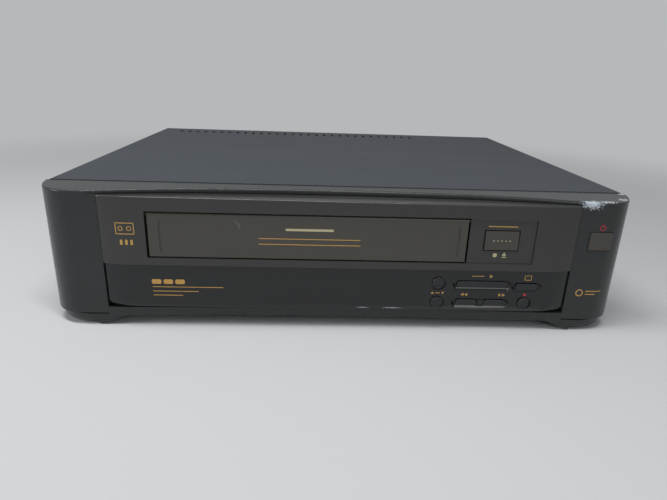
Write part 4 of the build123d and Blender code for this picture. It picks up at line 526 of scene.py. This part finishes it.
# Each lamp: name, place, width, depth, watts and colour; lengths in metres.
LAMP_TARGET = (0, 0, 60 * MM)
LAMPS = [
    ("lamp_top", (-0.14, -0.28, 0.9), 0.8, 0.1, 6.0, (1, 1, 1)),
    ("lamp_left", (-1.05, -0.5, 0.55), 0.35, 0.5, 3.6, (0.95, 0.98, 1.0)),
    ("lamp_front", (0.3, -1.3, 0.6), 0.6, 0.35, 1.9, (1, 1, 1)),
]


def make_camera():
    """The camera at the photograph's place, with its small roll."""
    data = bpy.data.cameras.new("camera")
    data.lens = FOCAL_LENGTH
    data.sensor_width = SENSOR_WIDTH
    data.clip_start = CLIP_START
    data.clip_end = CLIP_END
    camera = bpy.data.objects.new("camera", data)
    bpy.context.scene.collection.objects.link(camera)
    bpy.context.scene.camera = camera
    forward = Vector((
        math.sin(CAMERA_YAW) * math.cos(CAMERA_PITCH),
        math.cos(CAMERA_YAW) * math.cos(CAMERA_PITCH),
        -math.sin(CAMERA_PITCH),
    ))
    level = Vector((math.cos(CAMERA_YAW), -math.sin(CAMERA_YAW), 0.0))
    upright = level.cross(forward)
    right = math.cos(CAMERA_ROLL) * level + math.sin(CAMERA_ROLL) * upright
    up = -math.sin(CAMERA_ROLL) * level + math.cos(CAMERA_ROLL) * upright
    turn = Matrix((right, up, -forward)).transposed().to_4x4()
    camera.matrix_world = Matrix.Translation(CAMERA_PLACE) @ turn


def make_lamp(name, place, width, depth, watts, color):
    """A soft rectangular lamp that faces the recorder."""
    data = bpy.data.lights.new(name, "AREA")
    data.shape = "RECTANGLE"
    data.size = width
    data.size_y = depth
    data.energy = watts
    data.color = color
    lamp = bpy.data.objects.new(name, data)
    bpy.context.scene.collection.objects.link(lamp)
    lamp.location = place
    lamp.rotation_euler = (Vector(LAMP_TARGET) - Vector(place)).to_track_quat("-Z", "Y").to_euler()


def seen_rays(nodes, links):
    """1 for the rays that show a background: the camera's, and those of gloss and glass."""
    path = nodes.new("ShaderNodeLightPath")
    seen = path.outputs["Is Camera Ray"]
    for kind in ("Is Glossy Ray", "Is Transmission Ray"):
        either = nodes.new("ShaderNodeMath")
        either.operation = "MAXIMUM"
        links.new(seen, either.inputs[0])
        links.new(path.outputs[kind], either.inputs[1])
        seen = either.outputs["Value"]
    return seen


def make_world():
    """Soft all-round light, and the plain pale background that is seen."""
    world = bpy.data.worlds.new("studio")
    bpy.context.scene.world = world
    world.use_nodes = True
    nodes = world.node_tree.nodes
    links = world.node_tree.links
    nodes.clear()
    light = nodes.new("ShaderNodeBackground")
    light.inputs["Color"].default_value = ROOM_COLOR
    light.inputs["Strength"].default_value = ROOM_LIGHT
    shown = nodes.new("ShaderNodeBackground")
    shown.inputs["Color"].default_value = STUDIO_PALE
    shown.inputs["Strength"].default_value = 1.0
    mix = nodes.new("ShaderNodeMixShader")
    output = nodes.new("ShaderNodeOutputWorld")
    links.new(seen_rays(nodes, links), mix.inputs["Fac"])
    links.new(light.outputs["Background"], mix.inputs[1])
    links.new(shown.outputs["Background"], mix.inputs[2])
    links.new(mix.outputs["Shader"], output.inputs["Surface"])


def make_floor():
    """A wide pale floor that keeps the shadow and, further out, fades into the background."""
    shader = Shader("floor", FLOOR_PALE, 0.85, specular=0.2)
    shader.mottle(FLOOR_CLOUD, 2.0, 0.985, 1.015)
    length = shader.nodes.new("ShaderNodeVectorMath")
    length.operation = "LENGTH"
    shader.link(shader.place, length.inputs[0])
    fade = shader.nodes.new("ShaderNodeMapRange")
    fade.interpolation_type = "SMOOTHSTEP"
    fade.inputs["From Min"].default_value = FLOOR_FADE_START
    fade.inputs["From Max"].default_value = FLOOR_FADE_END
    shader.link(length.outputs["Value"], fade.inputs["Value"])
    shown = shader.nodes.new("ShaderNodeEmission")
    shown.inputs["Color"].default_value = STUDIO_PALE
    shown.inputs["Strength"].default_value = 1.0
    mix = shader.nodes.new("ShaderNodeMixShader")
    share = shader.math("MULTIPLY", fade.outputs["Result"], seen_rays(shader.nodes, shader.links))
    shader.link(share, mix.inputs["Fac"])
    shader.link(shader.surface.outputs["BSDF"], mix.inputs[1])
    shader.link(shown.outputs["Emission"], mix.inputs[2])
    shader.link(mix.outputs["Shader"], shader.nodes["Material Output"].inputs["Surface"])
    mesh = bpy.data.meshes.new("floor")
    square = [(-FLOOR_HALF, -FLOOR_HALF, 0), (FLOOR_HALF, -FLOOR_HALF, 0)]
    square += [(FLOOR_HALF, FLOOR_HALF, 0), (-FLOOR_HALF, FLOOR_HALF, 0)]
    mesh.from_pydata(square, [], [(0, 1, 2, 3)])
    mesh.materials.append(shader.material)
    floor = bpy.data.objects.new("floor", mesh)
    bpy.context.scene.collection.objects.link(floor)


def make_stage():
    """Camera, world, floor and the three lamps."""
    make_camera()
    make_world()
    make_floor()
    for lamp in LAMPS:
        make_lamp(*lamp)
    bpy.context.scene.view_settings.view_transform = "Standard"


# Printed marks ------------------------------------------------------------------------------------


# Outlines are drawn in millimetres. Cuts one slice apart let a mark follow a curved front.
INK = 0.04 * MM
SLICE = 0.6
CLIP_SHARE = 0.2
ARC_STEPS = 20
REEL_STEPS = 14


def add_mesh(name, mesh, body, material):
    """Links a made mesh as a piece of the recorder on a body."""
    mesh.materials.append(material)
    piece = bpy.data.objects.new(name, mesh)
    bpy.context.scene.collection.objects.link(piece)
    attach(piece, body)
    return piece


def print_mark(name, outlines, surface, material):
    """Ink on a front: closed (x, z) outlines in millimetres, laid on one of the mark surfaces."""
    depth, body, slot = surface
    work = bmesh.new()
    for outline in outlines:
        work.faces.new([work.verts.new((x * MM, 0, z * MM)) for x, z in outline])
    low = min(x for outline in outlines for x, _ in outline)
    high = max(x for outline in outlines for x, _ in outline)
    for number in range(1, int((high - low) / SLICE) + 1):
        everything = work.verts[:] + work.edges[:] + work.faces[:]
        cut = ((low + number * SLICE) * MM, 0, 0)
        bmesh.ops.bisect_plane(work, geom=everything, plane_co=cut, plane_no=(1, 0, 0))
    bmesh.ops.recalc_face_normals(work, faces=work.faces[:])
    for face in work.faces:
        if face.normal.y > 0:
            face.normal_flip()
    front = bmesh.ops.extrude_face_region(work, geom=work.faces[:])
    for vertex in (item for item in front["geom"] if isinstance(item, bmesh.types.BMVert)):
        vertex.co.y = -INK
    for vertex in work.verts:
        vertex.co.y += depth(vertex.co.x)
    mesh = bpy.data.meshes.new(name)
    work.to_mesh(mesh)
    work.free()
    add_mesh(name, mesh, body, material)


def bar(x, z, width, height):
    """Outline of an upright rectangle with clipped corners."""
    clip = min(width, height) * CLIP_SHARE
    right = x + width / 2
    left = x - width / 2
    top = z + height / 2
    low = z - height / 2
    return [
        (left + clip, low), (right - clip, low), (right, low + clip), (right, top - clip),
        (right - clip, top), (left + clip, top), (left, top - clip), (left, low + clip),
    ]


def triangle(x, z, size, turn):
    """Outline of a triangle that points along turn, in degrees from +X."""
    outline = []
    for step in (0, 120, 240):
        angle = math.radians(turn + step)
        outline.append((x + size * math.cos(angle), z + size * math.sin(angle)))
    return outline


def arc_band(x, z, radius, width, start, end, steps=ARC_STEPS):
    """Outlines of a curved band from start to end in degrees, as short four-sided pieces."""
    pieces = []
    for number in range(steps):
        a = math.radians(start + (end - start) * number / steps)
        b = math.radians(start + (end - start) * (number + 1) / steps)
        inner = radius - width / 2
        outer = radius + width / 2
        pieces.append([
            (x + inner * math.cos(a), z + inner * math.sin(a)),
            (x + outer * math.cos(a), z + outer * math.sin(a)),
            (x + outer * math.cos(b), z + outer * math.sin(b)),
            (x + inner * math.cos(b), z + inner * math.sin(b)),
        ])
    return pieces


def disc(x, z, radius):
    """Outline of a filled disc."""
    angles = [2 * math.pi * k / ARC_STEPS for k in range(ARC_STEPS)]
    return [(x + radius * math.cos(angle), z + radius * math.sin(angle)) for angle in angles]


# Surfaces of the front, as depth by X -------------------------------------------------------------


# An insert is flat as far as this from its middle, and a shown end keeps a share of its drop.
INSERT_FLAT = 133 * MM
INSERT_RADIUS = 31 * MM
INSERT_SHARE = 0.45

# The panel's sloping lower edge, the towers' corner, and the sunk field of the stop and eject button.
PANEL_EDGE = 4.0 * MM
PANEL_EDGE_DEPTH = 2.2 * MM
TOWER_RADIUS = 21.7 * MM
SUNK_DEPTH = 1.0 * MM


def insert_drop(x):
    """How far a solid insert's end curves back at a place along its width."""
    past = max(0.0, abs(x) - INSERT_FLAT)
    return INSERT_RADIUS - math.sqrt(INSERT_RADIUS**2 - past**2)


def insert_depth(front):
    """Depth of a shown insert: flat in the middle, with ends that curve back a little."""
    return lambda x: front + INSERT_SHARE * insert_drop(x)


def slope_ends(work, front, bottom):
    """Carries the sloping lower edge of the panel on round its curved ends."""
    everything = work.verts[:] + work.edges[:] + work.faces[:]
    top = (0, 0, bottom + PANEL_EDGE)
    bmesh.ops.bisect_plane(work, geom=everything, plane_co=top, plane_no=(0, 0, 1))
    for vertex in work.verts:
        x, y, z = vertex.co
        at_end = abs(x) > INSERT_FLAT - WELD_GAP and z < bottom + WELD_GAP
        if at_end and y < front + insert_drop(x) + WELD_GAP:
            vertex.co.y += PANEL_EDGE_DEPTH
    bmesh.ops.remove_doubles(work, verts=work.verts[:], dist=WELD_GAP)


def flush_insert(node, material, sloping=False):
    """An insert like its node, with the ends brought forward so that they meet the towers."""
    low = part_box(node)[0]
    work = bmesh.new()
    work.from_mesh(NODES[node].data)
    if sloping:
        slope_ends(work, low.y, low.z)
    for vertex in work.verts:
        vertex.co.y -= (1 - INSERT_SHARE) * insert_drop(vertex.co.x)
    piece = add_mesh(node + "_front", smooth_mesh(node + "_front", work), "root", material)
    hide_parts(node)
    return piece


def tower_depth():
    """Depth of the towers, flat and then round the case's corner."""
    low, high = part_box("front_bezel")

    def depth(x):
        past = max(0.0, abs(x) - (high.x - TOWER_RADIUS))
        return low.y + TOWER_RADIUS - math.sqrt(TOWER_RADIUS**2 - past**2)

    return depth


def flat_depth(front):
    """Depth of a plain front face."""
    return lambda x: front


def mark_surfaces():
    """Where marks can lie: depth by X, the body that carries it, and its material slot."""
    fascia_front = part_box("upper_fascia")[0].y
    return {
        "door": (flat_depth(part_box("cassette_door")[0].y), "cassette_door", "door_plastic"),
        "fascia": (insert_depth(fascia_front), "root", "fascia_plastic"),
        "sunk": (flat_depth(fascia_front + SUNK_DEPTH), "root", "fascia_plastic"),
        "panel": (insert_depth(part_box("control_panel")[0].y), "root", "panel_plastic"),
        "tower": (tower_depth(), "root", "bezel_plastic"),
    }


def foot_of(node):
    """Middle of a node's lower edge, as X and Z in millimetres."""
    low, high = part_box(node)
    return (low.x + high.x) / 2 / MM, low.z / MM


def top_of(node):
    """Middle of a node's top edge, as X and Z in millimetres."""
    low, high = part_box(node)
    return (low.x + high.x) / 2 / MM, high.z / MM


def at(place, outlines):
    """Outlines moved to a place."""
    return [[(x + place[0], z + place[1]) for x, z in outline] for outline in outlines]


def left_marks():
    """The marks on the door and at the left end: name, surface, ink, and outlines in millimetres."""
    door = foot_of("cassette_door")
    fascia = foot_of("upper_fascia")
    panel = foot_of("control_panel")
    cassette = arc_band(-137.1, 23.7, 1.3, 0.45, 0, 360, REEL_STEPS)
    cassette += arc_band(-131.9, 23.7, 1.3, 0.45, 0, 360, REEL_STEPS)
    cassette += [bar(-134.5, 27.2, 11.4, 0.5), bar(-134.5, 20.2, 11.4, 0.5)]
    cassette += [bar(-140.0, 23.7, 0.5, 6.6), bar(-129.0, 23.7, 0.5, 6.6)]
    bars = [bar(-137.3 + 3.2 * k, 14.8, 1.6, 3.4) for k in range(3)]
    blocks = [bar(-118.2 + 7.4 * k, 18.6, 6.0, 3.2) for k in range(3)]
    lines = [bar(-98.5, 15.0, 45, 0.45), bar(-106.5, 12.0, 29, 0.45), bar(-111.5, 9.2, 19, 0.45)]
    return [
        ("door_name_rule", "door", "ink_pale", at(door, [bar(0, 19.2, 30, 1.5)])),
        ("door_fine_rules", "door", "ink_gold", at(door, [bar(0, 13.2, 64, 0.5), bar(0, 9.5, 64, 0.5)])),
        ("cassette_mark", "fascia", "ink_gold", at(fascia, cassette)),
        ("left_bars", "fascia", "ink_gold", at(fascia, bars)),
        ("panel_blocks", "panel", "ink_gold", at(panel, blocks)),
        ("panel_rules", "panel", "ink_gold", at(panel, lines)),
    ]


def button_marks():
    """The marks over and under the buttons: name, surface, ink, and outlines in millimetres."""
    stop_eject = [bar(-3.05, -1.9, 2.6, 2.6), triangle(2.95, -1.4, 1.7, 90), bar(2.95, -3.2, 2.8, 0.6)]
    play = [triangle(4.85, 2.85, 1.4, 0), bar(-3.65, 2.85, 8.0, 0.5)]
    rewind = [triangle(-3.05, 2.65, 1.3, 180), triangle(-0.55, 2.65, 1.3, 180)]
    forward = [triangle(2.65, 2.65, 1.3, 0), triangle(5.15, 2.65, 1.3, 0)]
    channel = [triangle(-3.4, 1.6, 1.1, 90), triangle(3.4, 1.9, 1.1, 270), bar(0, 1.7, 3.0, 0.45)]
    symbols = at(top_of("play_button"), play) + at(top_of("rewind_button"), rewind)
    symbols += at(top_of("fast_forward_button"), forward) + at(top_of("channel_down_button"), channel)
    screen = [bar(0.05, 4.65, 4.6, 0.4), bar(0.05, 1.65, 4.6, 0.4)]
    screen += [bar(-2.05, 3.15, 0.4, 2.8), bar(2.15, 3.15, 0.4, 2.8)]
    return [
        ("stop_and_eject_symbols", "sunk", "ink_pale", at(foot_of("stop_eject_button"), stop_eject)),
        ("eject_rule", "sunk", "ink_gold", at(top_of("stop_eject_button"), [bar(-0.05, 1.2, 19, 0.6)])),
        ("panel_symbols", "panel", "ink_gold", symbols),
        ("screen_symbol", "panel", "ink_gold", at(top_of("tv_video_button"), screen)),
        ("record_dot", "panel", "ink_red", at(top_of("record_button"), [disc(0, 1.1, 1.0)])),
    ]


def tower_marks():
    """The marks on the right tower: name, surface, ink, and outlines in millimetres."""
    power = arc_band(0, 2.1, 1.7, 0.5, 120, 420) + [bar(0, 3.4, 0.5, 2.2)]
    emblem = arc_band(-7.0, -29.4, 2.2, 0.7, 0, 360)
    emblem += [bar(2.5, -28.2, 11, 0.6), bar(0.5, -30.4, 7, 0.6)]
    return [
        ("power_symbol", "tower", "ink_red", at(top_of("power_button"), power)),
        ("tower_mark", "tower", "ink_gold", at(foot_of("power_button"), emblem)),
    ]


def print_front(materials):
    """All printed marks: plain symbols and rules where the front has print."""
    surfaces = mark_surfaces()
    for name, surface, ink, outlines in left_marks() + button_marks() + tower_marks():
        print_mark(name, outlines, surfaces[surface], materials[ink])


# Rear and fastener details ------------------------------------------------------------------------


SMOOTH_ANGLE = math.radians(35)

# A screw's head and its cross recess, as shares of the head's radius and height.
SCREW_STEPS = 28
CROWN = [(1.0, 0.45), (0.93, 0.8), (0.72, 1.0)]
CROSS_REACH = 0.52
CROSS_HALF = 0.13
CROSS_DEPTH = 0.75
CROSS_TAPER = 0.62

# A plain screw's points past HEAD_SHARE of its radius are its head's rim, and the widest of those
# within SHANK_SHARE give its shank.
HEAD_SHARE = 0.9
SHANK_SHARE = 0.8

# A socket's ring: its wall to the shell, its hole, and its front with two small edges.
RING_STEPS = 36
RING_WALL = 0.55 * MM
RING_HOLE = 1.7 * MM
RING_FRONT = 0.22 * MM
HOLE_EDGE = (0.15 * MM, 0.12 * MM)
RIM_EDGE = (0.2 * MM, 0.1 * MM)
PHONO_COLORS = ("insert_yellow", "insert_white", "insert_yellow", "insert_red")

# The inlet's pins: how far off the middle they stand, how far a pin reaches round its axis, and
# how far in from the rear.
PIN_OFFSET = 4.3 * MM
PIN_REACH = 1.3 * MM
PIN_LENGTH = 12.5 * MM

# How near the foremost point a bump's face lies, and the corners of a part that isn't a round can.
BUMP_FACE = 0.02 * MM
BOX_CORNERS = 8


def lathe(work, profile, place, steps):
    """Turned walls: a profile of (radius, height) points swept round the place's Z. Gives its rings."""
    rings = []
    for radius, height in profile:
        angles = [2 * math.pi * k / steps for k in range(steps)]
        points = [Vector((radius * math.cos(a), radius * math.sin(a), height)) for a in angles]
        rings.append([work.verts.new(place @ point) for point in points])
    for low, high in zip(rings, rings[1:]):
        for k in range(steps):
            after = (k + 1) % steps
            work.faces.new((low[k], low[after], high[after], high[k]))
    return rings


def smooth_mesh(name, work):
    """Turns a bmesh into a mesh that is smooth but for its corners."""
    bmesh.ops.recalc_face_normals(work, faces=work.faces[:])
    mesh = bpy.data.meshes.new(name)
    work.to_mesh(mesh)
    work.free()
    for face in mesh.polygons:
        face.use_smooth = True
    mesh.set_sharp_from_angle(angle=SMOOTH_ANGLE)
    return mesh


def solids(mesh):
    """The points of each separate solid in a CAD node's mesh."""
    keys = [tuple(round(value, 6) for value in vertex.co) for vertex in mesh.vertices]
    members = {key: [key] for key in keys}
    group = {key: key for key in keys}
    for face in mesh.polygons:
        first = group[keys[face.vertices[0]]]
        for index in face.vertices[1:]:
            other = group[keys[index]]
            if other != first:
                if len(members[other]) > len(members[first]):
                    first, other = other, first
                for key in members[other]:
                    group[key] = first
                members[first] += members.pop(other)
    return [[Vector(point) for point in solid] for solid in members.values()]


def corners(points):
    """Lowest and highest corner of some points."""
    low = Vector([min(point[i] for point in points) for i in range(3)])
    high = Vector([max(point[i] for point in points) for i in range(3)])
    return low, high


def cross_outline(reach, half):
    """The twelve corners of a cross, in order."""
    outline = []
    for quarter in range(4):
        turn = Matrix.Rotation(math.radians(90 * quarter), 2)
        for corner in ((reach, -half), (reach, half), (half, half)):
            outline.append(turn @ Vector(corner))
    return outline


def add_screw(work, place, radius, head, shank, length):
    """One pan-head screw, with a tapered cross recess in its head."""
    crown = [(shank, -length), (shank, 0), (radius, 0)]
    crown += [(share * radius, rise * head) for share, rise in CROWN]
    rings = lathe(work, crown, place, SCREW_STEPS)
    work.faces.new(rings[0])
    recess = []
    for depth, share in ((0.0, 1.0), (CROSS_DEPTH * head, CROSS_TAPER)):
        outline = cross_outline(CROSS_REACH * radius * share, CROSS_HALF * radius * share)
        recess.append([work.verts.new(place @ Vector((x, y, head - depth))) for x, y in outline])
    rim = [work.edges.get((a, b)) for a, b in zip(rings[-1], rings[-1][1:] + rings[-1][:1])]
    mouth = [work.edges.new((a, b)) for a, b in zip(recess[0], recess[0][1:] + recess[0][:1])]
    bmesh.ops.triangle_fill(work, edges=rim + mouth, use_beauty=True)
    for k in range(len(recess[0])):
        after = (k + 1) % len(recess[0])
        work.faces.new((recess[0][k], recess[0][after], recess[1][after], recess[1][k]))
    work.faces.new(recess[1])


def off_axis(point, middle, along):
    """Distance of a point from the line through the middle along an axis."""
    across = point - middle
    across[along] = 0
    return across.length


def make_screws(node, material):
    """Screws with cross recesses in place of a node's plain ones, from the node's own sizes."""
    work = bmesh.new()
    for points in solids(NODES[node].data):
        low, high = corners(points)
        middle = (low + high) / 2
        span = high - low
        along = min(range(3), key=lambda i: abs(span[(i + 1) % 3] - span[(i + 2) % 3]))
        radius = span[(along + 1) % 3] / 2
        reaches = [off_axis(point, middle, along) for point in points]
        rim = [point[along] for point, reach in zip(points, reaches) if reach > HEAD_SHARE * radius]
        head = max(rim) - min(rim)
        shank = max(reach for reach in reaches if reach < SHANK_SHARE * radius)
        side = 1 if (min(rim) + max(rim)) / 2 > middle[along] else -1
        seat = min(rim) if side > 0 else max(rim)
        outward = Vector([side if i == along else 0 for i in range(3)])
        foot = middle.copy()
        foot[along] = seat
        place = Matrix.Translation(foot) @ outward.to_track_quat("Z", "Y").to_matrix().to_4x4()
        add_screw(work, place, radius, head, shank, span[along] - head)
    piece = add_mesh(node + "_crossed", smooth_mesh(node + "_crossed", work), "root", material)
    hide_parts(node)


def add_insert(name, points, material):
    """A socket's insulating ring, set in the mouth of its shell."""
    low, high = corners(points)
    middle = (low + high) / 2
    backward = Matrix.Rotation(math.radians(-90), 4, "X")
    place = Matrix.Translation((middle.x, high.y, middle.z)) @ backward
    outer = (high.x - low.x) / 2 - RING_WALL
    profile = [(RING_HOLE, 0), (RING_HOLE, HOLE_EDGE[1]), (RING_HOLE + HOLE_EDGE[0], RING_FRONT)]
    profile += [(outer - RIM_EDGE[0], RING_FRONT), (outer, RIM_EDGE[1]), (outer, 0)]
    work = bmesh.new()
    rings = lathe(work, profile, place, RING_STEPS)
    for k in range(RING_STEPS):
        after = (k + 1) % RING_STEPS
        work.faces.new((rings[-1][k], rings[-1][after], rings[0][after], rings[0][k]))
    add_mesh(name, smooth_mesh(name, work), "root", material)


def is_inlet_pin(point):
    """Whether a face of the mains inlet belongs to one of its two pins."""
    low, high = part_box("mains_inlet")
    middle = (low + high) / 2
    across = [point.x - middle.x - side * PIN_OFFSET for side in (-1, 1)]
    near = min(math.hypot(x, point.z - middle.z) for x in across)
    return near < PIN_REACH and point.y > high.y - PIN_LENGTH


def dress_sockets(materials):
    """Coloured rings in the phono sockets, white ones in the aerial sockets, and the inlet's pins."""
    shells = solids(NODES["phono_sockets"].data)
    for number, points in enumerate(sorted(shells, key=lambda shell: tuple(corners(shell)[0]))):
        add_insert(f"phono_insert_{number + 1}", points, materials[PHONO_COLORS[number]])
    for number, points in enumerate(solids(NODES["aerial_sockets"].data)):
        add_insert(f"aerial_insert_{number + 1}", points, materials["insert_white"])
    dress_where("mains_inlet", materials["steel"], is_inlet_pin)


def tint_bumps(material):
    """The row of small bumps on the stop and eject button, given the pale ink on their foremost faces."""
    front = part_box("stop_eject_button")[0].y
    dress_where("stop_eject_button", material, lambda point: point.y < front + BUMP_FACE)


def tint_cans(node, material):
    """Gives the round cans among a board's square parts a material of their own."""
    cans = [corners(points) for points in solids(NODES[node].data) if len(points) > BOX_CORNERS]

    def in_can(point):
        for low, high in cans:
            if all(low[i] - WELD_GAP < point[i] < high[i] + WELD_GAP for i in range(3)):
                return True
        return False

    dress_where(node, material, in_can)


# Width of each piece's rounded edges.
SOFT_EDGES = {
    "front_bezel": 0.5 * MM, "cassette_door": 0.4 * MM, "top_cover": 0.3 * MM, "front_feet": 0.2 * MM,
    "power_button": 0.35 * MM, "stop_eject_button": 0.4 * MM, "mains_inlet": 0.2 * MM,
    "play_button": 0.3 * MM, "rewind_button": 0.3 * MM, "fast_forward_button": 0.3 * MM,
    "tv_video_button": 0.3 * MM,
}
FASCIA_EDGE = 0.4 * MM
PANEL_SOFT_EDGE = 0.3 * MM


def build():
    """Dresses the CAD nodes and adds the fine pieces."""
    materials = make_materials()
    for short, names in NODE_MATERIALS.items():
        for name in names:
            dress(name, materials[short])
    for name, width in SOFT_EDGES.items():
        soften(NODES[name], width)
    fascia = flush_insert("upper_fascia", materials["fascia"])
    soften(fascia, FASCIA_EDGE)
    panel = flush_insert("control_panel", materials["panel"], sloping=True)
    soften(panel, PANEL_SOFT_EDGE)
    dress_sockets(materials)
    make_screws("cover_screws", materials["dark_steel"])
    make_screws("deck_screws", materials["dark_steel"])
    tint_bumps(materials["ink_pale"])
    tint_cans("main_board_components", materials["sleeve"])
    print_front(materials)


make_stage()
build()
